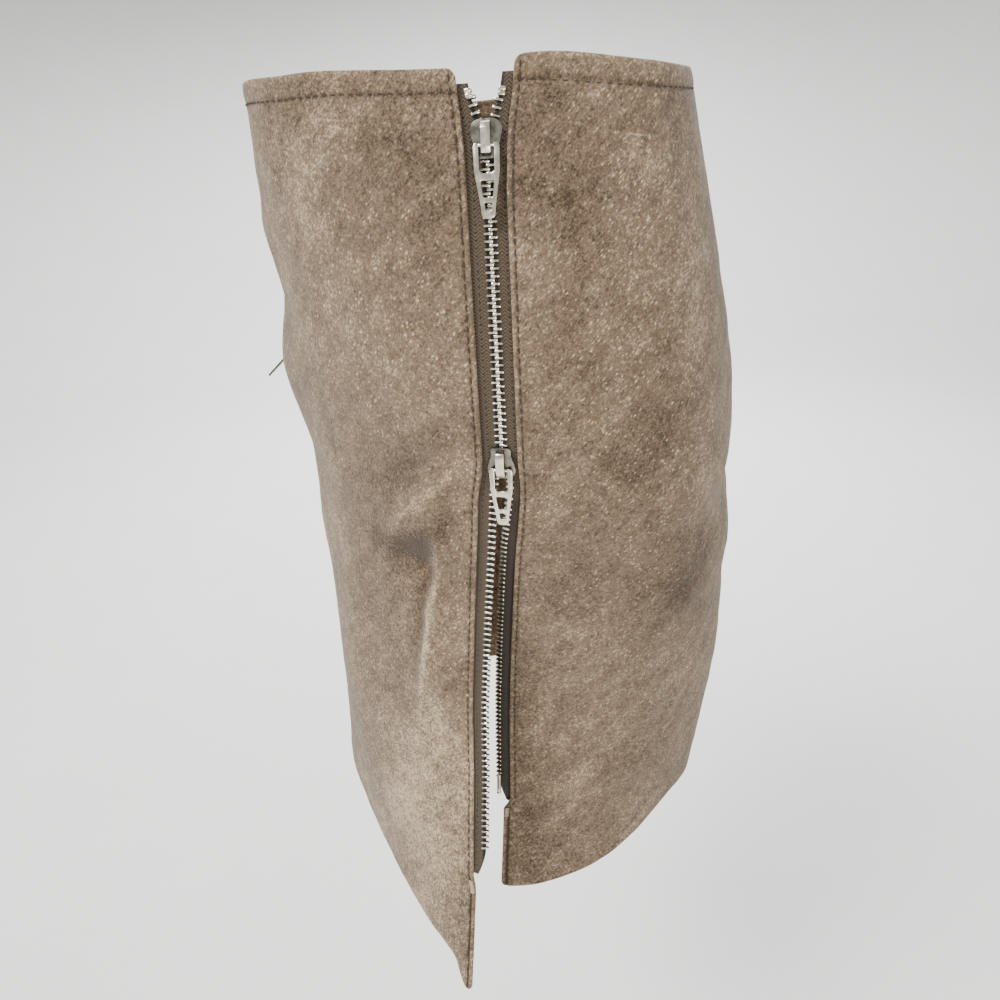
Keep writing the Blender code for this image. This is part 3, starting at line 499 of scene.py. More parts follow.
# Small creases and ripples, in the same columns as the folds.
CREASES = (
    ("front_panel", 182, 224, 17, 9.0, 74, -1.5),
    ("front_panel", 188, 250, 52, 3.6, -6, 1.6),
    ("front_panel", 181, 246, 42, 4.5, -6, -1.0),
    ("front_panel", 188, 184, 36, 6.0, -50, 0.9),
    ("front_panel", 176, 168, 30, 7.0, -50, -0.9),
    ("front_panel", 38, 52, 9, 2.6, 6, -0.9),
    ("front_panel", 46, 50, 10, 3.5, 4, 0.7),
    ("front_panel", 60, 62, 14, 5.0, -20, -0.7),
    ("front_panel", 72, 84, 18, 6.0, -30, 0.8),
    ("front_panel", 200, 150, 16, 5.0, -58, 0.7),
    ("front_panel", 206, 196, 12, 4.5, -72, -0.8),
    ("front_panel", 176, 206, 22, 5.0, -50, -0.9),
    ("front_panel", 158, 214, 16, 6.0, -62, 0.7),
    ("front_panel", 196, 214, 16, 5.5, 62, -1.0),
    ("front_panel", 203, 240, 26, 5.0, -4, 0.9),
    ("front_panel", 178, 254, 34, 6.0, -10, -0.9),
    ("front_panel", 166, 232, 20, 7.0, -40, 0.6),
    ("front_panel", 204, 300, 30, 6.0, 2, -0.6),
    ("front_panel", 140, 352, 34, 9.0, 12, 0.7),
    ("front_panel", 88, 268, 36, 10.0, 10, -0.6),
    ("front_panel", 120, 130, 34, 10.0, 22, 0.5),
    ("front_panel", 150, 84, 30, 9.0, -18, -0.4),
    ("front_panel", 208, 372, 12, 4.0, 80, -0.7),
    ("left_side_panel", 26, 60, 20, 6.0, 30, -0.5),
    ("left_side_panel", 58, 36, 18, 7.0, 60, 0.4),
    ("left_side_panel", 92, 90, 28, 8.0, 44, -0.6),
    ("left_side_panel", 40, 150, 24, 6.0, 52, 0.7),
    ("left_side_panel", 98, 190, 26, 7.0, 60, 0.8),
    ("left_side_panel", 116, 214, 24, 6.0, 68, -0.9),
    ("left_side_panel", 120, 250, 22, 6.5, 64, 0.7),
    ("left_side_panel", 44, 236, 28, 7.5, 34, -0.6),
    ("left_side_panel", 38, 300, 26, 8.0, 18, 0.6),
    ("left_side_panel", 104, 288, 26, 8.0, 40, -0.7),
    ("left_side_panel", 70, 372, 26, 9.0, 70, 0.6),
    ("left_side_panel", 22, 392, 16, 4.0, 82, -0.6),
    ("back_panel", 48, 70, 34, 9.0, 30, -0.6),
    ("back_panel", 132, 90, 36, 9.0, -28, 0.6),
    ("back_panel", 96, 176, 40, 8.0, 70, 0.9),
    ("back_panel", 116, 206, 40, 8.0, 78, -0.9),
    ("back_panel", 60, 262, 30, 8.0, 24, 0.7),
    ("back_panel", 160, 262, 32, 8.0, -24, 0.7),
    ("back_panel", 110, 372, 34, 10.0, 4, -0.8),
    ("right_side_panel", 60, 70, 30, 8.0, -34, 0.6),
    ("right_side_panel", 110, 180, 30, 7.0, -56, -0.8),
    ("right_side_panel", 70, 260, 30, 8.0, -40, 0.7),
    ("right_side_panel", 124, 330, 34, 8.0, -16, 0.6),
)
RIPPLE_SIZE = 21.0          # spacing of the slight unevenness all over
RIPPLE_HEIGHT = 0.55
RIPPLE_FINER = 2.3          # how much finer its second layer is
RIPPLE_FINER_SHARE = 0.45
RIPPLE_APART = 300.0        # keeps the second layer from following the first
EDGE_RIPPLE = 0.35          # what is left of it in the stiff edges along the zips
EDGE_STIFF = 16.0           # width of those edges, and of the strip where they soften
WAIST_RIPPLE = 0.3          # what is left of creases and unevenness at the waist edge
SEAM_STIFF = 10.0           # width over which they die out at a back seam
PUCKER_HEIGHT = 0.38        # fullness taken up along the plain seams
PUCKER_REACH = 9.0
# Its waves down a seam: length, how far it wanders, over what length, share of the height.
PUCKER_WAVES = ((3.4, 1.3, 23.0, 1.0), (7.9, 2.0, 41.0, 0.8))
WAIST_FULLNESS = 0.5        # how far the turned waist edge swells between fold and stitching
FULLNESS_DROP = 4.5         # drop where it swells most
FULLNESS_HALF = 3.2
FOLD_ROUND = 1.2            # rounding of the folded edges
SEAM_ROUND = 0.65           # rounding of the edges that meet at a back seam
NOT_QUITE_ROUND = 0.97      # a rounding stops just short of its quarter turn
LEAST_HALF_WALL = 0.05      # what rounding and grooves leave of half the wall

# Grooves of the stitching: distance from the edge, half width, depth.
WAIST_GROOVE = (WAIST_STITCH, 0.7, 0.30)
HEM_GROOVE = (HEM_TURN, 0.9, 0.22)
SEAM_GROOVE = (SEAM_STITCH, 0.6, 0.28)
ZIP_GROOVE = (ZIP_STITCH, 0.6, 0.42)
ZIP_GROOVE_FOOT = (ZIP_STITCH, 0.6, 0.30)       # added below the end of the stitching
# Painted shade in the stitch grooves and at the seams, and paler strips along the edges: distance
# from the edge, half width, tone.
WAIST_SHADES = ((WAIST_STITCH, 1.0, -0.60), (0.0, 2.0, 0.25))
SEAM_SHADES = ((0.0, 0.8, -0.5), (SEAM_STITCH, 0.6, -0.3), (4.0, 2.0, 0.22))
ZIP_SHADES = ((0.0, 1.5, 0.26), (ZIP_STITCH, 0.65, -0.40))
ZIP_SHADE_FOOT = (ZIP_STITCH, 0.65, -1.5)       # painted shade added below the bartack
BARTACK_REACH = 4.0         # from the end of the stitching to the bartack's foot
MOST_PORES = 1.2

# Lighter and darker places of the suede, in the same columns; the last is the tone. Many lie on
# the folds and creases, as painted light on their ridges and painted shade in their dents; the
# rest are the nap's own uneven tone.
NAP_TONE_AND_FOLD_LIGHT = (
    ("front_panel", 135, 52, 17, 11, -22, 0.55),
    ("front_panel", 38, 54, 8, 10, 29, -0.60),
    ("front_panel", 141, 32, 7, 10, -18, 0.20),
    ("front_panel", 165, 28, 13, 5, 87, -0.10),
    ("front_panel", 196, 30, 22, 20, -4, -0.52),
    ("front_panel", 206, 62, 18, 9, -4, -0.24),
    ("front_panel", 139, 98, 18, 21, -22, 0.16),
    ("front_panel", 164, 64, 9, 13, -13, -0.12),
    ("front_panel", 185, 88, 18, 13, -21, 0.14),
    ("front_panel", 141, 178, 21, 31, -12, -0.22),
    ("front_panel", 19, 198, 39, 21, 66, 0.18),
    ("front_panel", 188, 182, 41, 5, -52, 0.34),
    ("front_panel", 176, 168, 30, 8, -53, -0.62),
    ("front_panel", 187, 203, 25, 8, -54, -0.90),
    ("front_panel", 172, 213, 25, 8, -82, -0.95),
    ("front_panel", 62, 4, 60, 5, 90, -0.45),
    ("front_panel", 160, 208, 14, 16, -60, -0.35),
    ("front_panel", 188, 247, 54, 2.2, -6, 1.15),
    ("front_panel", 181, 238, 36, 4.0, -6, -0.68),
    ("front_panel", 146, 258, 30, 32, -5, -0.16),
    ("front_panel", 203, 228, 28, 7, 1, 0.05),
    ("front_panel", 195, 294, 36, 8, -5, 0.20),
    ("front_panel", 212, 222, 13, 3.5, -84, -0.40),
    ("front_panel", 211, 252, 12, 4, 88, -0.34),
    ("front_panel", 209, 282, 12, 4, -82, -0.32),
    ("front_panel", 160, 304, 22, 11, -4, -0.22),
    ("front_panel", 181, 360, 52, 36, -18, 0.85),
    ("front_panel", 130, 340, 36, 19, -14, -0.12),
    ("front_panel", 129, 410, 88, 14, -42, 0.12),
    ("front_panel", 212, 376, 20, 8, 0, 0.10),
    ("front_panel", 227, 412, 17, 6, 5, -0.10),
    ("front_panel", 189, 406, 32, 13, -34, 0.36),
    ("front_panel", 215, 138, 23, 4, -5, 0.16),
    ("front_panel", 211, 100, 17, 6, -5, 0.10),
    ("front_panel", 81, 256, 44, 27, -28, 0.12),
    ("front_panel", 104, 300, 34, 23, -15, 0.14),
    ("left_side_panel", 20, 38, 24, 16, -4, -0.58),
    ("left_side_panel", 65, 36, 16, 11, 87, 0.16),
    ("left_side_panel", 44, 24, 16, 5, 87, -0.10),
    ("left_side_panel", 40, 62, 18, 16, -26, -0.26),
    ("left_side_panel", 89, 72, 26, 13, -13, 0.46),
    ("left_side_panel", 20, 74, 11, 8, -4, 0.10),
    ("left_side_panel", 54, 84, 20, 8, -37, 0.16),
    ("left_side_panel", 27, 100, 18, 5, -26, -0.22),
    ("left_side_panel", 56, 108, 24, 6, -34, 0.14),
    ("left_side_panel", 43, 124, 25, 6, -31, -0.20),
    ("left_side_panel", 88, 114, 26, 14, -6, 0.34),
    ("left_side_panel", 27, 144, 20, 5, -25, 0.12),
    ("left_side_panel", 66, 156, 36, 20, -34, -0.46),
    ("left_side_panel", 100, 180, 12, 12, 8, 0.36),
    ("left_side_panel", 18, 188, 19, 11, 3, -0.14),
    ("left_side_panel", 44, 186, 26, 12, -26, -0.16),
    ("left_side_panel", 78, 198, 16, 10, -40, -0.14),
    ("left_side_panel", 92, 240, 28, 24, -15, -0.95),
    ("left_side_panel", 46, 220, 22, 14, -30, -0.24),
    ("left_side_panel", 30, 244, 12, 13, 90, -0.14),
    ("left_side_panel", 63, 268, 25, 9, -30, 0.18),
    ("left_side_panel", 42, 306, 34, 20, -41, -0.14),
    ("left_side_panel", 88, 314, 21, 14, 64, 0.12),
    ("left_side_panel", 79, 350, 15, 13, -77, -0.22),
    ("left_side_panel", 25, 364, 21, 12, 1, -0.12),
    ("left_side_panel", 56, 386, 23, 19, -86, -0.20),
    ("left_side_panel", 34, 412, 29, 15, 77, -0.26),
    ("left_side_panel", 20, 294, 22, 7, 2, -0.14),
    ("left_side_panel", 9, 138, 27, 3, -2, 0.10),
    ("left_side_panel", 108, 390, 12, 10, 17, -0.20),
    ("back_panel", 100, 120, 90, 30, 30, 0.22),
    ("back_panel", 60, 250, 80, 22, -20, -0.24),
    ("back_panel", 150, 300, 90, 26, 14, 0.24),
    ("right_side_panel", 60, 120, 80, 22, -40, 0.24),
    ("right_side_panel", 110, 230, 80, 20, -36, -0.24),
    ("right_side_panel", 60, 330, 80, 26, -12, 0.20),
)

# Where the pale pores show, in the same columns; the last is how clearly.
PORE_PLACES = (
    ("front_panel", 190, 90, 90, 60, 0, 0.9),
    ("front_panel", 110, 110, 80, 60, 0, 0.6),
    ("front_panel", 210, 250, 110, 22, 0, 0.8),
    ("front_panel", 120, 230, 60, 60, 0, 0.25),
    ("left_side_panel", 50, 60, 120, 70, 0, 0.9),
    ("left_side_panel", 80, 220, 120, 80, 0, 0.9),
    ("left_side_panel", 60, 380, 60, 70, 0, 0.35),
    ("back_panel", 110, 120, 140, 110, 0, 0.9),
    ("back_panel", 110, 330, 90, 110, 0, 0.5),
    ("right_side_panel", 90, 120, 140, 90, 0, 0.9),
    ("right_side_panel", 90, 330, 80, 90, 0, 0.5),
)


def unevenness(points, size):
    """Smooth noise read at points, in mm."""
    flat = points.reshape(-1, 3) / size
    values = np.array([noise.noise(Vector(p)) for p in flat])
    return values.reshape(points.shape[:-1])


def lines_between(first, last, near_first, near_last, cell):
    """Places of a shell's lines: the close ones at both ends, and even ones between."""
    places = [first + d for d in near_first] + [last - d for d in near_last]
    low = first + max(d for d in near_first if d < EDGE_LINES_END)
    high = last - max(d for d in near_last if d < EDGE_LINES_END)
    count = max(1, round((high - low) / cell))
    for place in np.linspace(low, high, count + 1)[1:-1]:
        if min(abs(place - p) for p in places) > NEAREST_LINES * cell:
            places.append(place)
    return np.array(sorted(places))


def turned_round(distance, radius):
    """How far a folded edge's face lies under the panel's surface near the fold."""
    inside = np.clip(radius - distance, 0, radius)
    return radius - np.sqrt(radius**2 - (inside * NOT_QUITE_ROUND)**2)


def groove(distance, middle, half, depth):
    """A soft groove, or with a tone for its depth a soft line, along an edge."""
    return depth * np.exp(-((distance - middle) / half)**2)


def grid_object(name, sheets, uvs, values, material):
    """A closed wall between an outer and an inner grid, with its UV map and values."""
    outer, inner = sheets
    rows, columns = outer.shape[:2]
    count = rows * columns
    verts = np.concatenate((outer.reshape(-1, 3), inner.reshape(-1, 3))) * MM
    index = np.arange(count).reshape(rows, columns)
    a, b = index[:-1, :-1].ravel(), index[:-1, 1:].ravel()
    d, e = index[1:, :-1].ravel(), index[1:, 1:].ravel()
    front = np.stack((a, d, e, b), 1)
    back = np.stack((a, b, e, d), 1) + count
    ring = np.concatenate((index[0], index[1:, -1], index[-1, -2::-1], index[-2:0:-1, 0]))
    after = np.roll(ring, -1)
    rim = np.stack((ring, after, after + count, ring + count), 1)
    faces = np.concatenate((front, back, rim))
    mesh = bpy.data.meshes.new(name)
    mesh.from_pydata([tuple(v) for v in verts], [], [tuple(f) for f in faces])
    layer = mesh.uv_layers.new(name="cut")
    flat = np.concatenate((uvs.reshape(-1, 2), uvs.reshape(-1, 2))) * MM
    corner = np.empty(len(mesh.loops), int)
    mesh.loops.foreach_get("vertex_index", corner)
    layer.data.foreach_set("uv", flat[corner].ravel())
    for label, grid in values.items():
        layer = mesh.attributes.new(label, "FLOAT", "POINT")
        layer.data.foreach_set("value", np.concatenate((grid.ravel(), grid.ravel())))
    mesh.shade_smooth()
    mesh.materials.append(material)
    thing = bpy.data.objects.new(name, mesh)
    bpy.context.scene.collection.objects.link(thing)
    return thing


def panel_grid(panel):
    """Nominal drops, true drops and distances across for a panel's shell."""
    near = [SEAM_EDGE_LINES if edge == "seam" else ZIP_EDGE_LINES for edge in panel.edges]
    nominal = lines_between(0, LENGTH, WAIST_LINES, HEM_LINES, CELL)
    first, last = panel.suede_limits(nominal)
    reach = np.mean(last - first)
    from_first = lines_between(0, reach, near[0], near[1], CELL)
    share = from_first / reach
    cut = np.zeros(len(share))
    for edge, distance in zip(panel.edges, (from_first, reach - from_first)):
        if edge != "seam":
            cut = cut + corner_cut(distance)
    drops = np.repeat(nominal[:, None], len(share), axis=1)
    drops = drops + cut * np.clip(1 - drops / CORNER_REACH, 0, 1)
    drops = drops - cut * np.clip(1 - (LENGTH - drops) / CORNER_REACH, 0, 1)
    true = shifted(panel, drops, share)
    first, last = panel.suede_limits(true)
    # Near an edge the distance is kept, so that the stitching stays parallel to it.
    width = last - first
    across = np.where(from_first < reach / 2, from_first, width - (reach - from_first))
    middle = np.clip((from_first - EDGE_KEEP) / (reach - 2 * EDGE_KEEP), 0, 1)
    between = (from_first > EDGE_KEEP) & (reach - from_first > EDGE_KEEP)
    across = np.where(between, EDGE_KEEP + middle * (width - 2 * EDGE_KEEP), across)
    return drops, true, first + across, across, width - across


def seam_pucker(drops):
    """The sewn-in fullness of a seam, the same on both sides of it."""
    return PUCKER_HEIGHT * sum(share * np.sin(drops / wave + wander * np.sin(drops / slow))
                               for wave, wander, slow, share in PUCKER_WAVES)


def panel_relief(panel, nominal, true, across):
    """Height of the creases and the slight unevenness over the panel's surface."""
    base = panel.at(across, true)
    rough = unevenness(base, RIPPLE_SIZE)
    rough += RIPPLE_FINER_SHARE * unevenness(base + RIPPLE_APART, RIPPLE_SIZE / RIPPLE_FINER)
    fade = np.clip(nominal / WAIST_TURN, WAIST_RIPPLE, 1)
    fullness = groove(nominal, FULLNESS_DROP, FULLNESS_HALF, WAIST_FULLNESS)
    for edge, distance in zip(panel.edges, (across, panel.width(true) - across)):
        if edge == "seam":
            fade = fade * np.clip(distance / SEAM_STIFF, 0, 1)
            fullness = fullness + groove(distance, 0.0, PUCKER_REACH, seam_pucker(nominal))
        else:
            supple = np.clip((distance - EDGE_STIFF) / EDGE_STIFF, 0, 1)
            rough *= EDGE_RIPPLE + (1 - EDGE_RIPPLE) * supple
    creases = soft_rows(CREASES, panel, across, true) * panel.edge_fade(across, true)
    return (creases + RIPPLE_HEIGHT * rough) * fade + fullness


def edge_rounding(nominal, to_edges):
    """How far the rounded edges lie under the panel's surface."""
    rounding = turned_round(nominal, FOLD_ROUND) + turned_round(LENGTH - nominal, FOLD_ROUND)
    for edge, distance in to_edges:
        rounding = rounding + turned_round(distance, SEAM_ROUND if edge == "seam" else FOLD_ROUND)
    return rounding


def stitch_grooves(nominal, to_edges):
    """How far the stitching pulls the suede in."""
    depth = groove(nominal, *WAIST_GROOVE) + groove(LENGTH - nominal, *HEM_GROOVE)
    for edge, distance in to_edges:
        if edge == "seam":
            depth = depth + groove(distance, *SEAM_GROOVE)
        else:
            depth = depth + groove(distance, *ZIP_GROOVE)
            depth = depth + groove(distance, *ZIP_GROOVE_FOOT) * (nominal > STITCH_END)
    return depth


def wall_thickness(nominal, to_edges):
    """One layer of suede, and two where an edge is turned in."""
    turned = np.maximum(soft_step(nominal - WAIST_TURN), soft_step(LENGTH - HEM_TURN - nominal))
    for edge, distance in to_edges:
        if edge != "seam":
            turned = np.maximum(turned, soft_step(distance - ZIP_TURN))
    return SUEDE + (SUEDE_TURNED - SUEDE) * turned


def tone_shade_and_pores(panel, nominal, true, across, to_edges):
    """The listed tone of the nap with painted light and shade on its folds, painted shade in the
    stitch grooves and at the seams, and how clearly its pores show.
    """
    tone = soft_rows(NAP_TONE_AND_FOLD_LIGHT, panel, across, true)
    tone += sum(groove(nominal, *row) for row in WAIST_SHADES)
    for edge, distance in to_edges:
        shades = SEAM_SHADES if edge == "seam" else ZIP_SHADES
        tone += sum(groove(distance, *row) for row in shades)
        if edge != "seam":
            tone += groove(distance, *ZIP_SHADE_FOOT) * (nominal > STITCH_END + BARTACK_REACH)
    pores = np.clip(soft_rows(PORE_PLACES, panel, across, true), 0, MOST_PORES)
    return {"tone": tone, "pores": pores}


def suede_shell(panel, material):
    nominal, true, across, to_first, to_last = panel_grid(panel)
    to_edges = tuple(zip(panel.edges, (to_first, to_last)))
    relief = panel_relief(panel, nominal, true, across)
    thick = wall_thickness(nominal, to_edges)
    rounding = edge_rounding(nominal, to_edges)
    most = thick / 2 - LEAST_HALF_WALL
    sunk = np.minimum(rounding + stitch_grooves(nominal, to_edges), most)
    lift = np.minimum(rounding, most)
    outer = panel.at(across, true, relief - sunk, folds=True)
    inner = panel.at(across, true, relief - thick + lift, folds=True)
    values = tone_shade_and_pores(panel, nominal, true, across, to_edges)
    cut = np.stack((across, true), -1)
    shell = grid_object("suede_" + panel.name, (outer, inner), cut, values, material)
    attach(shell, BODY)
    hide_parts(panel.name)
    return shell


# ================================================================ zip tapes and their teeth
TAPE_CELLS = (0.0, 0.05, 0.18, 0.35, 0.55, 0.78, 1.0)
TAPE_CELL_LONG = 2.2
TAPE_BEAD = 1.1             # how far the corded edge runs in under the teeth
TAPE_TAIL = 13.0            # length of the tapered tail at the foot
TAPE_TAPER = 5.0
SIDE_TUCK = 3.4             # extra turning in of the side tapes' loose edges at the hem
TOOTH_PITCH = 3.0
TOOTH_FIRST = 13.0          # distance of the first tooth along the zip
TOOTH_COUNT = 121
TOOTH_FROM_EDGE = -0.45     # middle of a tooth from the tape's edge, toward the suede
TOOTH_SIZE = (3.9, 1.2, 2.3)
TOOTH_HEAD_END = -0.9       # where the head ends, from the tooth's middle
TOOTH_LEGS_START = 0.6      # and where the legs start
TOOTH_NECK = 0.84           # how much of the tooth's height is left between them
TOOTH_LEGS = 0.96
TOOTH_HEAD_THIN = 0.86      # how much of its thickness the head keeps
CHAIN_POINTS = 400          # points at which a zip's length is measured
NEIGHBOUR = 1.0             # how far up and down a tape its direction is read
NEIGHBOUR_OUT = 1.5         # and how far to the suede and to the edge
NEIGHBOUR_IN = 0.5


def tape_points(panel, edge, drops, from_middle, out):
    """Points on the tape, out from its middle plane."""
    suede_edge = zip_edges(panel, edge, drops)[1]
    across = from_middle if edge == panel.edges[0] else panel.width(drops) - from_middle
    free = np.clip(suede_edge - from_middle, 0, None) / suede_edge
    tuck = TAPE_TUCK if panel.name == "front_panel" else TAPE_TUCK + SIDE_TUCK
    depth = TAPE_DEPTH + parting_at(edge, drops) * free * tuck
    return panel.at(across, drops, out - depth, folds=True)


def zip_tape(name, panel, edge, material):
    """One woven tape, with its cord under the teeth and its tails drawn in at both ends."""
    nominal = np.arange(TAPE_TOP, TAPE_END, TAPE_CELL_LONG)
    share = 0.0 if edge == panel.edges[0] else 1.0
    drops = shifted(panel, nominal, share * np.ones_like(nominal))[:, None]
    tape_edge = zip_edges(panel, edge, drops)[0]
    places = np.array(TAPE_CELLS)
    from_middle = tape_edge + places * TAPE_WIDE
    from_middle[:, 0] -= TAPE_BEAD
    top = np.clip((TAPE_TOP + TAPE_TAIL - nominal[:, None]) / TAPE_TAIL, 0, 1)
    foot = np.clip((nominal[:, None] - (TAPE_END - TAPE_TAIL)) / TAPE_TAIL, 0, 1)
    drawn_in = top * TAPE_BEAD + foot**1.5 * TAPE_TAPER
    from_middle = from_middle + drawn_in * (1 - places)
    grid = np.broadcast_to(drops, from_middle.shape)
    outer = tape_points(panel, edge, grid, from_middle, TAPE_THICK / 2)
    inner = tape_points(panel, edge, grid, from_middle, -TAPE_THICK / 2)
    cut = np.stack((from_middle - tape_edge, grid), -1)
    if edge != panel.edges[0]:
        outer, inner, cut = outer[:, ::-1], inner[:, ::-1], cut[:, ::-1]
    tape = grid_object("woven_" + name, (outer, inner), cut, {}, material)
    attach(tape, BODY)
    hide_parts("tape_" + name)
    return tape


def frame_from(here, side, up):
    """A place with X to the side and Y up, Z outward, in mm."""
    up = up / np.linalg.norm(up)
    out = np.cross(side, up)
    out = out / np.linalg.norm(out)
    side = np.cross(up, out)
    frame = np.eye(4)
    frame[:3, 0], frame[:3, 1], frame[:3, 2], frame[:3, 3] = side, up, out, here
    return frame


def drops_along(panel, edge, places):
    """Drops at distances along the zip from its top."""
    drops = np.linspace(0, LENGTH, CHAIN_POINTS)
    line = tape_points(panel, edge, drops, zip_edges(panel, edge, drops)[0], 0.0)
    run = np.concatenate(((0.0,), np.cumsum(np.linalg.norm(np.diff(line, axis=0), axis=1))))
    return np.interp(places, run, drops)


def tape_frames(panel, edge, drops, off_edge):
    """Frames on a tape near its edge, with X running away from the zip's middle."""
    frames = []
    for drop in drops:
        near = drop + NEIGHBOUR * np.array((-1, 0, 1))
        off = zip_edges(panel, edge, near)[0] + off_edge
        line = tape_points(panel, edge, near, off, 0.0)
        wide = tape_points(panel, edge, near[1:2], off[1:2] + NEIGHBOUR_OUT, 0.0)[0]
        thin = tape_points(panel, edge, near[1:2], np.maximum(off[1:2] - NEIGHBOUR_IN, 0), 0.0)[0]
        frames.append(frame_from(line[1], wide - thin, line[0] - line[2]))
    return frames


def stamped(name, shape, frames, material, body=BODY):
    """One mesh of many copies of a small shape, each set in its frame."""
    verts = np.array([v.co[:] for v in shape.vertices])
    faces = [tuple(p.vertices) for p in shape.polygons]
    kinds = [p.material_index for p in shape.polygons]
    all_verts, all_faces = [], []
    for number, frame in enumerate(frames):
        all_verts.append(verts @ frame[:3, :3].T + frame[:3, 3])
        flip = np.linalg.det(frame[:3, :3]) < 0
        base = number * len(verts)
        for face in faces:
            ring = tuple(base + i for i in face)
            all_faces.append(ring[::-1] if flip else ring)
    mesh = bpy.data.meshes.new(name)
    mesh.from_pydata([tuple(v) for v in np.concatenate(all_verts) * MM], [], all_faces)
    mesh.shade_smooth()
    mesh.set_sharp_from_angle(angle=math.radians(SHARP_ANGLE))
    for slot_material in material if isinstance(material, tuple) else (material,):
        mesh.materials.append(slot_material)
    mesh.polygons.foreach_set("material_index", kinds * len(frames))
    thing = bpy.data.objects.new(name, mesh)
    bpy.context.scene.collection.objects.link(thing)
    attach(thing, body)
    return thing


# ================================================================ shapes made one by one, in mm
BRIGHT, SHADED_PLATE, SHADED = 0, 1, 2      # the metal's own colour, the painted shade of a slider's plates, and the painted shade of the sides
SLIDER_ROUND = 0.32         # rounding of the slider's edges
SLIDER_POINTS = 22          # points along one side of its outline
WEDGE_POINT = 0.05          # half width of the wedge's point
BRIDGE_MORE = 0.15          # the fine bridge is wider than the plain one by this a side
BRIDGE_ROUND = 0.42
BRIDGE_FOOT = 4.6           # height up to which the bridge's sides lie in shade
PLATE_SHADE_TOP = 3.2            # height up to which a slider's plates carry painted shade
TAB_ROUND = 0.3
TAB_ARM_ROUND = (1.2, 0.4, 0.35)    # corners of the arms' ends
TAB_SLOT_ROUND = (1.4, 0.5, 0.45)   # and of the slot's foot
BAR_ROUND = 0.2
BAR_IN_ARM = 0.8            # how far the bar runs into each arm
TOOTH_ROUND = 0.3
STOP_WIRE = 1.75            # length of one of a stop's two turns
STOP_TURN = 0.92            # of a turn's middle from the stop's middle
STOP_ROUND = 0.6
PIN_ROUND = 0.4
PIN_FOOT = 1.8              # length of the pin's thicker foot
PIN_FOOT_MORE = 0.3
PIN_FOOT_ROUND = 0.6
STITCH_RADIUS = 0.38
STITCH_LONG = 2.7
STITCH_THIN = 0.4           # how much thinner a stitch is at its ends
STITCH_DIP = 0.36           # and how far they go down
SHARP_ANGLE = 45


def nothing_selected():
    if bpy.context.object and bpy.context.object.mode != "OBJECT":
        bpy.ops.object.mode_set(mode="OBJECT")
    bpy.ops.object.select_all(action="DESELECT")


def only(thing):
    nothing_selected()
    thing.select_set(True)
    bpy.context.view_layer.objects.active = thing


def apply_all(thing):
    only(thing)
    for change in list(thing.modifiers):
        bpy.ops.object.modifier_apply(modifier=change.name)


def bevelled(thing, width, segments=2, angle=30):
    change = thing.modifiers.new("rounded", "BEVEL")
    change.width = width
    change.segments = segments
    change.limit_method = "ANGLE"
    change.angle_limit = math.radians(angle)
    apply_all(thing)


def plate(name, outline, low, high):
    """A flat plate drawn as an outline in X and Y, then extruded. Sizes in mm."""
    nothing_selected()
    bpy.ops.mesh.primitive_circle_add(vertices=len(outline), radius=1, fill_type="NGON")
    thing = bpy.context.object
    thing.name = name
    for vertex, (x, y) in zip(thing.data.vertices, outline):
        vertex.co = (x, y, low)
    bpy.ops.object.mode_set(mode="EDIT")
    bpy.ops.mesh.select_all(action="SELECT")
    bpy.ops.mesh.extrude_region_move(TRANSFORM_OT_translate={"value": (0, 0, high - low)})
    bpy.ops.mesh.select_all(action="SELECT")
    bpy.ops.mesh.normals_make_consistent(inside=False)
    bpy.ops.object.mode_set(mode="OBJECT")
    return thing


def take_away(thing, *cutters):
    for cutter in cutters:
        change = thing.modifiers.new("cut", "BOOLEAN")
        change.operation = "DIFFERENCE"
        change.solver = "EXACT"
        change.object = cutter
        apply_all(thing)
        bpy.data.objects.remove(cutter, do_unlink=True)


def smooth_outline(half, count):
    """A rounded outline through rows of (along, half width), both sides."""
    table = np.array(half, float)
    run = np.concatenate(((0.0,), np.cumsum(np.linalg.norm(np.diff(table, axis=0), axis=1))))
    fine = smooth_through(run, table, np.linspace(0, run[-1], count))
    right = [(width, along) for along, width in fine]
    return right + [(-width, along) for width, along in reversed(right)]


def taken_mesh(thing, painted_shade_of=None):
    """The finished mesh of a shape, and its object removed; a rule gives each face its colour,
    bright or in painted shade.
    """
    mesh = thing.data
    if painted_shade_of is not None:
        while len(mesh.materials) <= SHADED:
            mesh.materials.append(None)
        for face in mesh.polygons:
            face.material_index = painted_shade_of(face)
    bpy.data.objects.remove(thing, do_unlink=True)
    return mesh


def joined(*things):
    nothing_selected()
    for thing in things:
        thing.select_set(True)
    bpy.context.view_layer.objects.active = things[0]
    bpy.ops.object.join()
    return things[0]


def slider_painted_shade(face):
    """The sides lie in painted shade, the plates carry a lighter painted shade and the bridge is
    bright on top.
    """
    if abs(face.normal.z) < 0.6 and face.center.z < BRIDGE_FOOT:
        return SHADED
    return SHADED_PLATE if face.center.z < PLATE_SHADE_TOP else BRIGHT


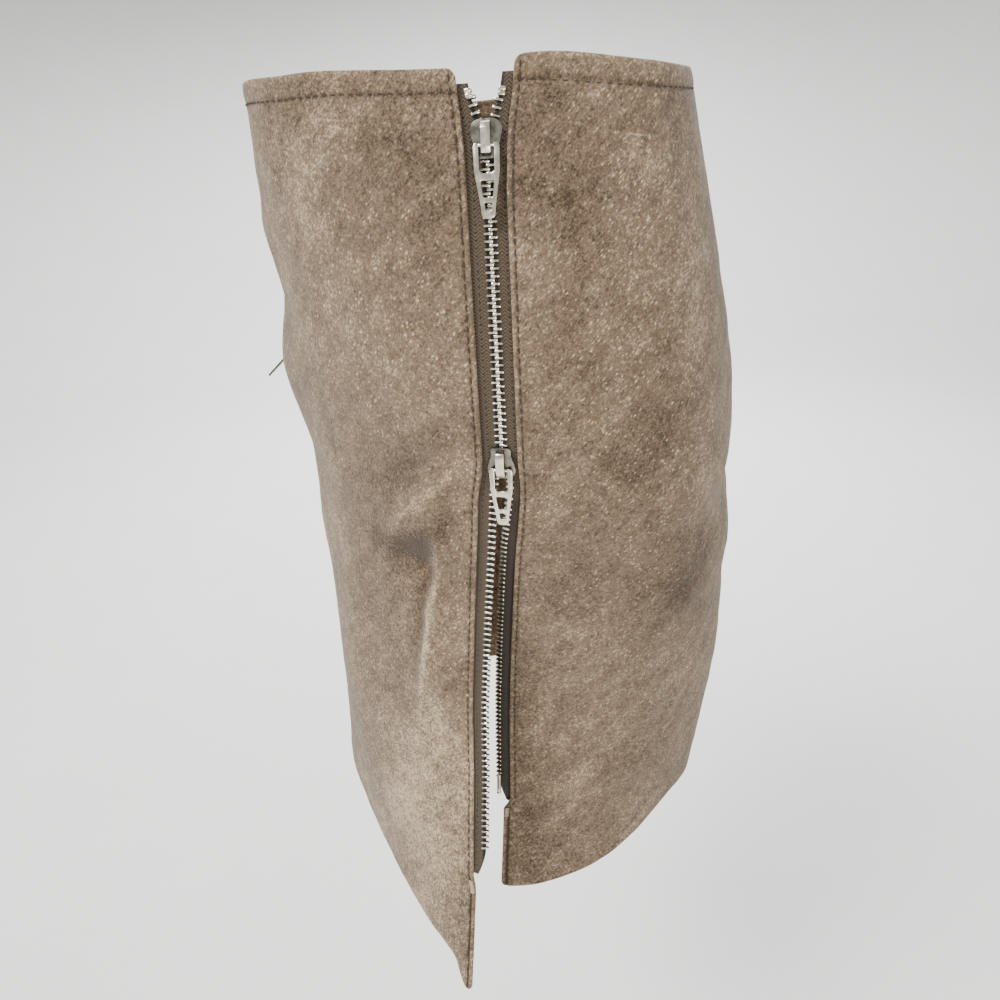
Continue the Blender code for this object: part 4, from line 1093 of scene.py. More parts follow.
def slider_shape():
    """Slider: two plates joined by a wedge, their turned edges, and the bridge."""
    before, after, beside = -1, SLIDER_LONG + 1, 20
    body = plate("slider", smooth_outline(SLIDER_OUTLINE, SLIDER_POINTS), -PLATE_OUT, PLATE_OUT)
    wedge = ((WEDGE_HALF, after), (WEDGE_HALF, WEDGE_FULL), (WEDGE_POINT, CHANNEL_SPLIT),
             (-WEDGE_POINT, CHANNEL_SPLIT), (-WEDGE_HALF, WEDGE_FULL), (-WEDGE_HALF, after))
    channel = ((-CHANNEL_NARROW, before), (CHANNEL_NARROW, before),
               (CHANNEL_NARROW, CHANNEL_BEND), (CHANNEL_WIDE, WEDGE_FULL),
               (CHANNEL_WIDE, after)) + wedge
    channel += ((-CHANNEL_WIDE, after), (-CHANNEL_WIDE, WEDGE_FULL),
                (-CHANNEL_NARROW, CHANNEL_BEND))
    slot = ((-beside, before), (beside, before), (beside, after)) + wedge + ((-beside, after),)
    take_away(body, plate("channel", channel, -PLATE_IN, PLATE_IN),
              plate("slot", slot, -SLOT_HALF, SLOT_HALF))
    bevelled(body, SLIDER_ROUND, 3)
    half = BRIDGE_WIDE / 2 + BRIDGE_MORE
    bridge = plate("bridge", BRIDGE_OUTLINE, -half, half)
    bridge.data.transform(Matrix(((0, 0, 1), (1, 0, 0), (0, 1, 0))).to_4x4())
    bevelled(bridge, BRIDGE_ROUND, 3, 20)
    return taken_mesh(joined(body, bridge), slider_painted_shade)


def tab_painted_shade(face):
    """A tab's faces are bright and its edges lie in shade."""
    return SHADED if abs(face.normal.z) < 0.35 else BRIGHT


def tab_outline():
    """The tab's right side, up its slot, over the arm's end and down to the foot."""
    foot, side, rise = TAB_SLOT_ROUND
    right = [(TAB_SLOT_HALF - foot, -TAB_SLOT_LONG), (TAB_SLOT_HALF - side, rise - TAB_SLOT_LONG),
             (TAB_SLOT_HALF, foot - TAB_SLOT_LONG), (TAB_SLOT_HALF, TAB_ARM_END)]
    across, corner, drop = TAB_ARM_ROUND
    right += [(TAB_TOP_HALF - across, TAB_ARM_END), (TAB_TOP_HALF - corner, TAB_ARM_END - drop),
              (TAB_TOP_HALF, TAB_ARM_END - across)]
    return right + [(half, -along) for along, half in TAB_OUTLINE]


def tab_shape():
    """Pull tab with its bar on the X axis, hanging along -Y."""
    right = tab_outline()
    tab = plate("tab", right + [(-half, along) for half, along in reversed(right)],
                -TAB_THICK / 2, TAB_THICK / 2)
    for top, low, top_half, low_half in TAB_WINDOWS:
        r = TAB_WINDOW_CORNER
        window = ((top_half - r, -top), (-top_half + r, -top), (-top_half, -top - r),
                  (-low_half, -low + r), (-low_half + r, -low), (low_half - r, -low),
                  (low_half, -low + r), (top_half, -top - r))
        take_away(tab, plate("window", window, -TAB_THICK, TAB_THICK))
    bevelled(tab, TAB_ROUND, 3)
    nothing_selected()
    bpy.ops.mesh.primitive_cylinder_add(vertices=18, radius=TAB_THICK / 2,
                                        depth=2 * (TAB_SLOT_HALF + BAR_IN_ARM),
                                        rotation=(0, math.pi / 2, 0))
    bar = bpy.context.object
    bpy.ops.object.transform_apply(location=True, rotation=True, scale=True)
    bevelled(bar, BAR_ROUND, 2)
    return taken_mesh(joined(tab, bar), tab_painted_shade)


def block(size, bevel, segments):
    nothing_selected()
    bpy.ops.mesh.primitive_cube_add(size=1)
    thing = bpy.context.object
    thing.scale = size
    bpy.ops.object.transform_apply(location=True, rotation=True, scale=True)
    bevelled(thing, bevel, segments)
    return thing


def sliced(thing, places, axis):
    """The shape cut across at places along an axis, so that it can be formed there."""
    only(thing)
    bpy.ops.object.mode_set(mode="EDIT")
    for place in places:
        bpy.ops.mesh.select_all(action="SELECT")
        bpy.ops.mesh.bisect(plane_co=Vector(axis) * place, plane_no=axis)
    bpy.ops.object.mode_set(mode="OBJECT")


def tooth_painted_shade(face):
    """A tooth's top is bright, and its flanks and tip lie in shade."""
    return SHADED if abs(face.normal.y) > 0.75 or face.normal.x < -0.9 else BRIGHT


def tooth_shape():
    """A tooth: a head toward the zip's middle at -X, and legs clamped on the tape at +X."""
    tooth = block(TOOTH_SIZE, TOOTH_ROUND, 1)
    sliced(tooth, (TOOTH_HEAD_END, TOOTH_LEGS_START), (1, 0, 0))
    for vertex in tooth.data.vertices:
        if vertex.co.x < TOOTH_HEAD_END + 0.1:
            vertex.co.z *= TOOTH_HEAD_THIN
        else:
            vertex.co.y *= TOOTH_NECK if vertex.co.x < TOOTH_LEGS_START + 0.1 else TOOTH_LEGS
    return taken_mesh(tooth, tooth_painted_shade)


def stop_shape():
    """Top stop: a wire clamped twice round the tape's edge."""
    turns = []
    for side in (1, -1):
        turn = block((STOP_WIDE + STOP_WALL, STOP_WIRE, STOP_THICK), STOP_ROUND, 3)
        place = ((STOP_WIDE - STOP_WALL) / 2, side * STOP_TURN, 0)
        turn.data.transform(Matrix.Translation(place))
        turns.append(turn)
    return taken_mesh(joined(*turns))


def pin_shape():
    """A slim pin along the tape's edge, with a rounded foot."""
    wide = PIN_WIDE + PIN_WALL
    pin = block((wide, PIN_LONG, PIN_THICK), PIN_ROUND, 3)
    foot = block((wide + PIN_FOOT_MORE, PIN_FOOT, PIN_THICK + PIN_FOOT_MORE), PIN_FOOT_ROUND, 3)
    middle = (PIN_WIDE - PIN_WALL) / 2
    pin.data.transform(Matrix.Translation((middle, 0, 0)))
    foot.data.transform(Matrix.Translation((middle, (PIN_FOOT - PIN_LONG) / 2, 0)))
    return taken_mesh(joined(pin, foot))


def stitch_shape():
    """A stitch lying along Y, its ends going down into the cloth."""
    nothing_selected()
    bpy.ops.mesh.primitive_cylinder_add(vertices=6, radius=STITCH_RADIUS, depth=STITCH_LONG,
                                        rotation=(math.pi / 2, 0, 0))
    stitch = bpy.context.object
    bpy.ops.object.transform_apply(location=True, rotation=True, scale=True)
    sliced(stitch, (-STITCH_LONG / 3, 0.0, STITCH_LONG / 3), (0, 1, 0))
    for vertex in stitch.data.vertices:
        end = min(1.0, abs(vertex.co.y) / (STITCH_LONG / 2))**3
        vertex.co.x *= 1.0 - STITCH_THIN * end
        vertex.co.z = vertex.co.z * (1.0 - STITCH_THIN * end) - STITCH_DIP * end
    return taken_mesh(stitch)


# ================================================================ sewing
STITCH_SUNK = 0.12          # how deep a stitch's middle lies in its groove
STITCH_READ = 1.2           # how far ahead and behind the line's direction is read
WAIST_STITCH_END = 0.8      # from the end of the waist's stitching to the suede's edge
ZIP_STITCH_START = 1.5      # drop at which the stitching along a zip starts
HEM_STITCH_END = 2.0        # from the foot of a seam's stitching to the hem
WAIST_POINTS = 160          # points of a line of stitching across a panel
SEAM_POINTS = 300           # and of one that runs down it
BARTACK_STITCHES = 7
BARTACK_STEP = 0.80
BARTACK_LIFT = 1.0          # how far above the end of the stitching a bartack starts
BARTACK_FROM_EDGE = 1.5
BARTACK_OUT = 0.45          # how far it stands out


def surface_frames(panel, across, drops):
    """Frames along a line on a panel's outer face, with Y running along the line."""
    relief = panel_relief(panel, drops, drops, across)
    points = panel.at(across, drops, relief - STITCH_SUNK, folds=True)
    normals = panel.read(panel.normals, across, drops)
    run = np.concatenate(((0.0,), np.cumsum(np.linalg.norm(np.diff(points, axis=0), axis=1))))
    frames = []
    for place in np.arange(STITCH_PITCH / 2, run[-1], STITCH_PITCH):
        here, ahead = [np.array([np.interp(p, run, points[:, k]) for k in range(3)])
                       for p in (place - STITCH_READ, place + STITCH_READ)]
        normal = np.array([np.interp(place, run, normals[:, k]) for k in range(3)])
        along = ahead - here
        frames.append(frame_from((here + ahead) / 2, np.cross(along, normal), along))
    return frames


def sewing_frames(panel):
    """Stitching along the waist, the folded zip edges and beside the back seams."""
    first, last = panel.suede_limits(np.full(2, WAIST_STITCH))
    across = np.linspace(first[0] + WAIST_STITCH_END, last[0] - WAIST_STITCH_END, WAIST_POINTS)
    drops = shifted(panel, np.full(WAIST_POINTS, WAIST_STITCH),
                    across / panel.width(WAIST_STITCH))
    frames = surface_frames(panel, across, drops)
    nominal = np.linspace(ZIP_STITCH_START, STITCH_END, SEAM_POINTS)
    for number, edge in enumerate(panel.edges):
        if edge == "seam" and panel.name != "back_panel":
            continue
        reach = STITCH_END if edge != "seam" else LENGTH - HEM_STITCH_END
        end = nominal / STITCH_END * reach
        drops = shifted(panel, end, float(number) * np.ones_like(end))
        limits = panel.suede_limits(drops)
        inset = SEAM_STITCH if edge == "seam" else ZIP_STITCH
        across = limits[0] + inset if number == 0 else limits[1] - inset
        frames += surface_frames(panel, across, drops)
    return frames


def bartack_frames(panel, edge):
    """A short bar of tight stitches at the foot of a zip's stitching."""
    number = panel.edges.index(edge)
    frames = []
    for step in range(BARTACK_STITCHES):
        nominal = np.array([STITCH_END - BARTACK_LIFT + BARTACK_STEP * step])
        drop = shifted(panel, nominal, np.array([float(number)]))
        limits = panel.suede_limits(drop)
        across = (limits[0] + BARTACK_FROM_EDGE if number == 0
                  else limits[1] - BARTACK_FROM_EDGE)
        here = panel.at(across, drop, BARTACK_OUT, folds=True)[0]
        side = panel.at(across + 1, drop, BARTACK_OUT, folds=True)[0] - here
        normal = panel.read(panel.normals, across, drop)[0]
        frames.append(frame_from(here, np.cross(side, normal), side))
    return frames


# ================================================================ materials
SUEDE_DARK = (0.048, 0.032, 0.020)
SUEDE_MIDDLE = (0.190, 0.132, 0.084)
SUEDE_LIGHT = (0.560, 0.445, 0.300)
SHEEN_TINT = (1.0, 0.93, 0.85, 1.0)
# The nap's patterns: size in mm, or for a streak its turn in degrees, width and length.
# Each has its weight in the tone or, for the last two, in the grain.
NAP_CLOUD, CLOUD_WEIGHT = 34, 0.42
NAP_STREAK, STREAK_WEIGHT = (-46, 6, 24), 0.50
NAP_PATCH, PATCH_WEIGHT = 8, 0.50
HAIR_STREAK, HAIR_WEIGHT = (-44, 0.8, 2.6), 0.75
NAP_GRAIN, GRAIN_WEIGHT = 1.8, 1.35
FINE_GRAIN, FINE_WEIGHT = 0.8, 0.90
HAIR_GRAIN = 0.7            # weight of the hairs in the relief of the grain
PORE_CLOUD = 16             # patches in which the pores are clearer
PORES_UNEVEN = 0.85         # how irregularly the pores are strewn
# Ranges: what a pattern runs from and to, then what that becomes.
PORE_FADE = (0.02, 0.40, 1.0, 0.0)
PORE_PATCHES = (0.34, 0.54, 0.55, 1.0)
PORE_STRENGTHS = (0.1, 0.8, 0.3, 1.0)
SMOOTH_UNDER_PORES = (0.1, 0.8, 1.0, 0.72)      # the grain lies smoother where pores show
SUEDE_ROUGHNESS = (0.0, 1.0, 0.97, 0.82)        # from the tone
LISTED_TONE_AND_SHADE = 0.36            # weight of the listed tones, with their painted light and shade
PORE_TONE = 0.82            # and of the pores
TONE_SHIFT = -0.09          # makes the whole a little darker
# Turn of the pores' dashes in degrees, and their spacing across and along, in mm.
DASHES = {"front_panel": (-32, 2.1, 2.9), "left_side_panel": (-42, 1.5, 2.8),
          "back_panel": (-34, 1.7, 2.9), "right_side_panel": (42, 1.5, 2.8)}
# Light marks brushed or scratched into the nap:
# across, drop, lean, half length, half width, tone.
MARKS = {
    "front_panel": ((160, 17, 82, 6, 0.7, 0.22), (164, 20, 80, 5, 0.6, 0.20),
                    (158, 23, 84, 5, 0.6, 0.18), (120, 160, 40, 10, 0.5, 0.09),
                    (90, 210, -30, 8, 0.5, 0.08), (210, 120, 12, 8, 0.5, 0.09)),
    "left_side_panel": ((61, 30, 82, 8, 0.5, 0.24), (58, 33, 78, 6, 0.4, 0.20),
                        (44, 90, 52, 7, 0.5, 0.08), (63, 180, 46, 8, 0.5, 0.08),
                        (30, 238, 60, 6, 0.5, 0.08), (82, 320, 30, 8, 0.6, 0.09)),
    "back_panel": ((70, 60, 70, 9, 0.5, 0.22), (140, 190, -50, 11, 0.5, 0.18),
                   (100, 330, 20, 9, 0.6, 0.18)),
    "right_side_panel": ((90, 50, -60, 8, 0.5, 0.22), (60, 210, -40, 10, 0.5, 0.18),
                         (110, 330, -20, 9, 0.5, 0.16)),
}
RANK_WIDE = 2.1             # the herringbone: width of a rank of ribs
RIB_SLOPE = 0.9
RIB_PITCH = 1.45
RANKS_FROM = 100.0          # keeps the ranks' count above 0 left of the tape's edge
DOT_PITCH = 3.0             # needle holes down the tape
DOT_LINE = 4.75             # their distance from its edge
TAPE_GROUND = (0.032, 0.022, 0.013)
TAPE_RIB = (0.128, 0.092, 0.056)
TAPE_WORN = (0.090, 0.068, 0.046)
# Dark of the needle holes, also used as painted shade under the teeth.
TAPE_HOLE_AND_SHADE = (0.012, 0.009, 0.007)
# Painted shade on the tapes below the lower slider, where they turn inward.
TAPE_PAINTED_SHADE = (0.010, 0.007, 0.005)
TAPE_PATCH = 7
TAPE_FUZZ = 0.55
TAPE_SHADE_FROM = 168             # drops between which a tape grows darker with painted shade
TAPE_SHADE_FULL = 186
SIDE_TAPE_SHADE_LEFT = 0.42          # what is left of a side tape's colour under that painted shade
# Metal: colour, roughness, and how dark its mottling is.
SATIN_NICKEL = ((0.95, 0.87, 0.71), 0.23, 0.78)
BRIGHT_TEETH = ((0.99, 0.91, 0.76), 0.20, 0.78)
# The two darker copies of the nickel below are painted shade: lighter on a slider's plates, darker
# on the sides of each piece.
PLATE_SHADE_NICKEL = ((0.33, 0.305, 0.255), 0.28, 0.55)
SHADED_NICKEL = ((0.13, 0.12, 0.105), 0.42, 0.45)
MOTTLE_SIZE = 3.2
BRUSH_SIZE = 0.16
THREAD_BROWN = (0.050, 0.030, 0.019)
THREAD_PALE = (0.66, 0.54, 0.40)
THREAD_SHADE = 0.45
TWIST = (20, 0.18, 0.5)     # the thread's twist: turn, width, length
FLOOR_GREY = (0.80, 0.80, 0.79)
FLOOR_PALE = (0.86, 0.86, 0.85)
FLOOR_CLOUD = 180


def new_material(name):
    material = bpy.data.materials.new(name)
    material.use_nodes = True
    tree = material.node_tree
    return material, tree, tree.nodes["Principled BSDF"]


def new_group(name, inputs, outputs):
    """A shader group: inputs are (name, kind, value), outputs (name, kind)."""
    group = bpy.data.node_groups.new(name, "ShaderNodeTree")
    for label, kind, value in inputs:
        socket = group.interface.new_socket(label, in_out="INPUT", socket_type="NodeSocket" + kind)
        if value is not None:
            socket.default_value = value
    for label, kind in outputs:
        group.interface.new_socket(label, in_out="OUTPUT", socket_type="NodeSocket" + kind)
    start = group.nodes.new("NodeGroupInput")
    end = group.nodes.new("NodeGroupOutput")
    return group, start, end


def put(tree, socket, value):
    if isinstance(value, bpy.types.NodeSocket):
        tree.links.new(value, socket)
    elif value is not None:
        socket.default_value = value


def calc(tree, operation, *values):
    node = tree.nodes.new("ShaderNodeMath")
    node.operation = operation
    for socket, value in zip(node.inputs, values):
        put(tree, socket, value)
    return node.outputs[0]


def ramp(tree, value, low, high, to_low=0.0, to_high=1.0, smooth=True):
    node = tree.nodes.new("ShaderNodeMapRange")
    node.interpolation_type = "SMOOTHSTEP" if smooth else "LINEAR"
    for socket, number in zip(node.inputs, (value, low, high, to_low, to_high)):
        put(tree, socket, number)
    return node.outputs[0]


def blend_colour(tree, share, first, second):
    node = tree.nodes.new("ShaderNodeMix")
    node.data_type = "RGBA"
    put(tree, node.inputs[0], share)
    for socket, value in ((node.inputs[6], first), (node.inputs[7], second)):
        put(tree, socket, (*value, 1.0) if isinstance(value, tuple) else value)
    return node.outputs[2]


def streaked(tree, vector, angle, wide, long, deep=1):
    """Coordinates turned about Z in degrees, then measured in widths and lengths of a streak."""
    turn = tree.nodes.new("ShaderNodeMapping")
    put(tree, turn.inputs["Vector"], vector)
    turn.inputs["Rotation"].default_value = (0, 0, math.radians(angle))
    size = tree.nodes.new("ShaderNodeMapping")
    tree.links.new(turn.outputs[0], size.inputs["Vector"])
    size.inputs["Scale"].default_value = (1 / wide, 1 / long, 1 / deep)
    return size.outputs[0]


def cloud(tree, vector, scale, detail=3.0, rough=0.55, distortion=0.0):
    node = tree.nodes.new("ShaderNodeTexNoise")
    put(tree, node.inputs["Vector"], vector)
    node.inputs["Scale"].default_value = scale
    node.inputs["Detail"].default_value = detail
    node.inputs["Roughness"].default_value = rough
    node.inputs["Distortion"].default_value = distortion
    return node.outputs["Fac"]


def cells(tree, vector, random):
    """Cells about 1 across in the vector's own measure."""
    node = tree.nodes.new("ShaderNodeTexVoronoi")
    put(tree, node.inputs["Vector"], vector)
    node.inputs["Scale"].default_value = 1.0
    node.inputs["Randomness"].default_value = random
    return node


def in_millimetres(tree, vector):
    node = tree.nodes.new("ShaderNodeVectorMath")
    node.operation = "SCALE"
    tree.links.new(vector, node.inputs[0])
    node.inputs["Scale"].default_value = 1 / MM
    return node.outputs[0]


def cut_millimetres(tree):
    """The piece's own flat cut, across and down."""
    cut = tree.nodes.new("ShaderNodeUVMap")
    cut.uv_map = "cut"
    return in_millimetres(tree, cut.outputs[0])


def place_millimetres(tree):
    """Object coordinates."""
    return in_millimetres(tree, tree.nodes.new("ShaderNodeTexCoord").outputs["Object"])


def painted(tree, name):
    """A value that the points of a piece carry."""
    node = tree.nodes.new("ShaderNodeAttribute")
    node.attribute_name = name
    return node.outputs["Fac"]


def layered(tree, layers):
    """The sum of noises, each moved to lie about 0: (noise, amount)."""
    total = 0.0
    for texture, amount in layers:
        centred = calc(tree, "MULTIPLY_ADD", texture, amount, -amount / 2)
        total = calc(tree, "ADD", total, centred)
    return total


def bump(tree, shader, layers):
    """Bump nodes in a row: (height, distance in mm, strength)."""
    before = None
    for height, distance, strength in layers:
        node = tree.nodes.new("ShaderNodeBump")
        put(tree, node.inputs["Height"], height)
        node.inputs["Distance"].default_value = distance * MM
        node.inputs["Strength"].default_value = strength
        if before is not None:
            tree.links.new(before, node.inputs["Normal"])
        before = node.outputs["Normal"]
    tree.links.new(before, shader.inputs["Normal"])


def nap_group():
    """Brushed nap of suede: tone, grain and pale pores, in millimetres."""
    inputs = (("Place", "Vector", None), ("Cut", "Vector", None), ("Dashes", "Vector", None),
              ("Pore share", "Float", 1.0))
    group, start, end = new_group("brushed_nap", inputs,
                                  (("Tone", "Float"), ("Grain", "Float"), ("Pores", "Float")))
    place, cut = start.outputs["Place"], start.outputs["Cut"]
    hairs = cloud(group, streaked(group, cut, *HAIR_STREAK), 1.0, 2.0, 0.6)
    tone = layered(group, (
        (cloud(group, place, 1 / NAP_CLOUD, 2.0, 0.5, 0.5), CLOUD_WEIGHT),
        (cloud(group, streaked(group, cut, *NAP_STREAK), 1.0, 3.0, 0.6, 0.7), STREAK_WEIGHT),
        (cloud(group, place, 1 / NAP_PATCH, 3.0, 0.6, 0.3), PATCH_WEIGHT),
        (hairs, HAIR_WEIGHT)))
    grain = layered(group, ((cloud(group, place, 1 / NAP_GRAIN, 3.0, 0.75), GRAIN_WEIGHT),
                            (cloud(group, place, 1 / FINE_GRAIN, 1.0, 0.5), FINE_WEIGHT)))
    smoother = ramp(group, start.outputs["Pore share"], *SMOOTH_UNDER_PORES)
    group.links.new(calc(group, "ADD", tone, calc(group, "MULTIPLY", grain, smoother)),
                    end.inputs["Tone"])
    group.links.new(calc(group, "ADD", grain, calc(group, "MULTIPLY", hairs, HAIR_GRAIN)),
                    end.inputs["Grain"])
    dashes = cells(group, start.outputs["Dashes"], PORES_UNEVEN)
    near = ramp(group, dashes.outputs["Distance"], *PORE_FADE)
    patch = ramp(group, cloud(group, cut, 1 / PORE_CLOUD, 2.0), *PORE_PATCHES)
    each = ramp(group, dashes.outputs["Color"], *PORE_STRENGTHS)
    pores = calc(group, "MULTIPLY", calc(group, "MULTIPLY", near, patch), each)
    pores = calc(group, "MULTIPLY", pores, start.outputs["Pore share"])
    group.links.new(pores, end.inputs["Pores"])
    return group


def scratch_group():
    """A short thin mark: 1 on it, from its middle, lean and size."""
    inputs = (("Cut", "Vector", None), ("Across", "Float", 0.0), ("Drop", "Float", 0.0),
              ("Lean", "Float", 0.0), ("Half length", "Float", 6.0), ("Half width", "Float", 0.3))
    group, start, end = new_group("nap_mark", inputs, (("Mark", "Float"),))
    split = group.nodes.new("ShaderNodeSeparateXYZ")
    group.links.new(start.outputs["Cut"], split.inputs[0])
    aside = calc(group, "SUBTRACT", split.outputs[0], start.outputs["Across"])
    below = calc(group, "SUBTRACT", split.outputs[1], start.outputs["Drop"])
    cosine = calc(group, "COSINE", start.outputs["Lean"])
    sine = calc(group, "SINE", start.outputs["Lean"])
    along = calc(group, "ADD", calc(group, "MULTIPLY", below, cosine),
                 calc(group, "MULTIPLY", aside, sine))
    wide = calc(group, "SUBTRACT", calc(group, "MULTIPLY", aside, cosine),
                calc(group, "MULTIPLY", below, sine))
    along = calc(group, "DIVIDE", along, start.outputs["Half length"])
    wide = calc(group, "DIVIDE", wide, start.outputs["Half width"])
    away = calc(group, "ADD", calc(group, "POWER", calc(group, "ABSOLUTE", along), 4.0),
                calc(group, "POWER", calc(group, "ABSOLUTE", wide), 2.0))
    group.links.new(ramp(group, away, 0.1, 1.0, 1.0, 0.0), end.inputs["Mark"])
    return group


def placed_group(tree, group, **values):
    """A shader group in a material, its inputs linked or set by their names."""
    node = tree.nodes.new("ShaderNodeGroup")
    node.node_tree = group
    for name, value in values.items():
        put(tree, node.inputs[name.replace("_", " ").capitalize()], value)
    return node


def marked(tree, tone, cut, name, scratch):
    """The tone with a panel's brushed marks added."""
    for across, drop, lean, half_long, half_wide, amount in MARKS[name]:
        mark = placed_group(tree, scratch, cut=cut, across=across, drop=drop,
                            lean=math.radians(lean), half_length=half_long, half_width=half_wide)
        tone = calc(tree, "ADD", tone, calc(tree, "MULTIPLY", mark.outputs["Mark"], amount))
    return tone


def suede_material(name, nap, scratch):
    material, tree, shader = new_material("suede_" + name)
    place, cut = place_millimetres(tree), cut_millimetres(tree)
    brushed = placed_group(tree, nap, place=place, cut=cut,
                           dashes=streaked(tree, cut, *DASHES[name]),
                           pore_share=painted(tree, "pores"))
    tone = calc(tree, "ADD", brushed.outputs["Tone"], 0.5 + TONE_SHIFT)
    # The listed tones add painted light and shade on the folds, grooves and seams.
    tone = calc(tree, "ADD", tone, calc(tree, "MULTIPLY", painted(tree, "tone"), LISTED_TONE_AND_SHADE))
    tone = marked(tree, tone, cut, name, scratch)
    tone = calc(tree, "ADD", tone, calc(tree, "MULTIPLY", brushed.outputs["Pores"], PORE_TONE))
    darker = ramp(tree, tone, 0.0, 0.5, smooth=False)
    lighter = ramp(tree, tone, 0.5, 1.0, smooth=False)
    colour = blend_colour(tree, darker, SUEDE_DARK, SUEDE_MIDDLE)
    colour = blend_colour(tree, lighter, colour, SUEDE_LIGHT)
    tree.links.new(colour, shader.inputs["Base Color"])
    tree.links.new(ramp(tree, tone, *SUEDE_ROUGHNESS), shader.inputs["Roughness"])
    shader.inputs["Specular IOR Level"].default_value = 0.2
    shader.inputs["Sheen Weight"].default_value = 0.18
    shader.inputs["Sheen Roughness"].default_value = 0.5
    shader.inputs["Sheen Tint"].default_value = SHEEN_TINT
    bump(tree, shader, ((brushed.outputs["Grain"], 0.4, 0.9),
                        (brushed.outputs["Pores"], 0.4, 0.9)))
    return material


def twill_group():
    """Herringbone weave of a zip tape, from its flat cut in millimetres."""
    group, start, end = new_group("herringbone", (("Cut", "Vector", None),),
                                  (("Rib", "Float"), ("Dots", "Float")))
    split = group.nodes.new("ShaderNodeSeparateXYZ")
    group.links.new(start.outputs["Cut"], split.inputs[0])
    across, down = split.outputs[0], split.outputs[1]
    zigzag = calc(group, "PINGPONG", calc(group, "ADD", across, RANKS_FROM), RANK_WIDE)
    place = calc(group, "MULTIPLY_ADD", zigzag, RIB_SLOPE, down)
    rib = calc(group, "SINE", calc(group, "MULTIPLY", place, 2 * math.pi / RIB_PITCH))
    group.links.new(calc(group, "MULTIPLY_ADD", rib, 0.5, 0.5), end.inputs["Rib"])
    dot_down = calc(group, "SUBTRACT", calc(group, "MODULO", down, DOT_PITCH), DOT_PITCH / 2)
    dot_side = calc(group, "SUBTRACT", across, DOT_LINE)
    away = calc(group, "ADD", calc(group, "POWER", calc(group, "ABSOLUTE", dot_down), 2.0),
                calc(group, "POWER", calc(group, "ABSOLUTE", dot_side), 2.0))
    group.links.new(ramp(group, away, 0.08, 0.3, 1.0, 0.0), end.inputs["Dots"])
    return group


def tape_material(name, twill, shade_left):
    """Woven tape; its third argument says how much is left of its colour under the painted shade
    below the lower slider.
    """
    material, tree, shader = new_material(name)
    place, cut = place_millimetres(tree), cut_millimetres(tree)
    weave = placed_group(tree, twill, cut=cut)
    worn = cloud(tree, place, 1 / TAPE_PATCH, 3.0)
    fuzz = cloud(tree, place, 1 / TAPE_FUZZ, 2.0, 0.7)
    rib = calc(tree, "MULTIPLY", weave.outputs["Rib"], ramp(tree, fuzz, 0.3, 0.7, 0.55, 1.0))
    colour = blend_colour(tree, rib, TAPE_GROUND, TAPE_RIB)
    colour = blend_colour(tree, calc(tree, "MULTIPLY", worn, 0.3), colour, TAPE_WORN)
    colour = blend_colour(tree, weave.outputs["Dots"], colour, TAPE_HOLE_AND_SHADE)
    split = tree.nodes.new("ShaderNodeSeparateXYZ")
    tree.links.new(cut, split.inputs[0])
    # Painted shade: the corded edge under the teeth is darkened as by the shadow between them.
    shade_under_teeth = ramp(tree, split.outputs[0], 0.2, 1.6, 1.0, 0.0)
    colour = blend_colour(tree, shade_under_teeth, colour, TAPE_HOLE_AND_SHADE)
    # Painted shade: the tape darkens below the lower slider, where it turns inward.
    lower = ramp(tree, split.outputs[1], TAPE_SHADE_FROM, TAPE_SHADE_FULL, 0.0, 1.0 - shade_left)
    colour = blend_colour(tree, lower, colour, TAPE_PAINTED_SHADE)
    tree.links.new(colour, shader.inputs["Base Color"])
    tree.links.new(ramp(tree, fuzz, 0.2, 0.8, 0.75, 0.95), shader.inputs["Roughness"])
    shader.inputs["Sheen Weight"].default_value = 0.15
    shader.inputs["Specular IOR Level"].default_value = 0.3
    bump(tree, shader, ((weave.outputs["Rib"], 0.25, 1.0), (fuzz, 0.22, 0.9)))
    return material


def metal_material(name, colour, rough, grime):
    material, tree, shader = new_material(name)
    place = place_millimetres(tree)
    mottle = cloud(tree, place, 1 / MOTTLE_SIZE, 3.0)
    fine = cloud(tree, place, 1 / BRUSH_SIZE, 2.0, 0.7)
    dark = tuple(c * grime for c in colour)
    shade = blend_colour(tree, ramp(tree, mottle, 0.25, 0.7), dark, colour)
    tree.links.new(shade, shader.inputs["Base Color"])
    tree.links.new(ramp(tree, calc(tree, "ADD", mottle, calc(tree, "MULTIPLY", fine, 0.5)),
                        0.5, 1.1, rough - 0.07, rough + 0.09), shader.inputs["Roughness"])
    shader.inputs["Metallic"].default_value = 1.0
    bump(tree, shader, ((fine, 0.02, 0.35),))
    return material


def thread_material(name, colour):
    material, tree, shader = new_material(name)
    place = place_millimetres(tree)
    twist = cloud(tree, streaked(tree, place, *TWIST, TWIST[-1]), 1.0, 2.0)
    dark = tuple(c * THREAD_SHADE for c in colour)
    tree.links.new(blend_colour(tree, ramp(tree, twist, 0.3, 0.7), dark, colour),
                   shader.inputs["Base Color"])
    tree.links.new(ramp(tree, twist, 0.2, 0.8, 0.6, 0.85), shader.inputs["Roughness"])
    bump(tree, shader, ((twist, 0.08, 0.7),))
    return material


def floor_material():
    material, tree, shader = new_material("pale_floor")
    place = place_millimetres(tree)
    mottle = cloud(tree, place, 1 / FLOOR_CLOUD, 3.0)
    tree.links.new(blend_colour(tree, mottle, FLOOR_GREY, FLOOR_PALE),
                   shader.inputs["Base Color"])
    tree.links.new(ramp(tree, mottle, 0.2, 0.8, 0.75, 0.9), shader.inputs["Roughness"])
    bump(tree, shader, ((mottle, 0.5, 0.1),))
    return material


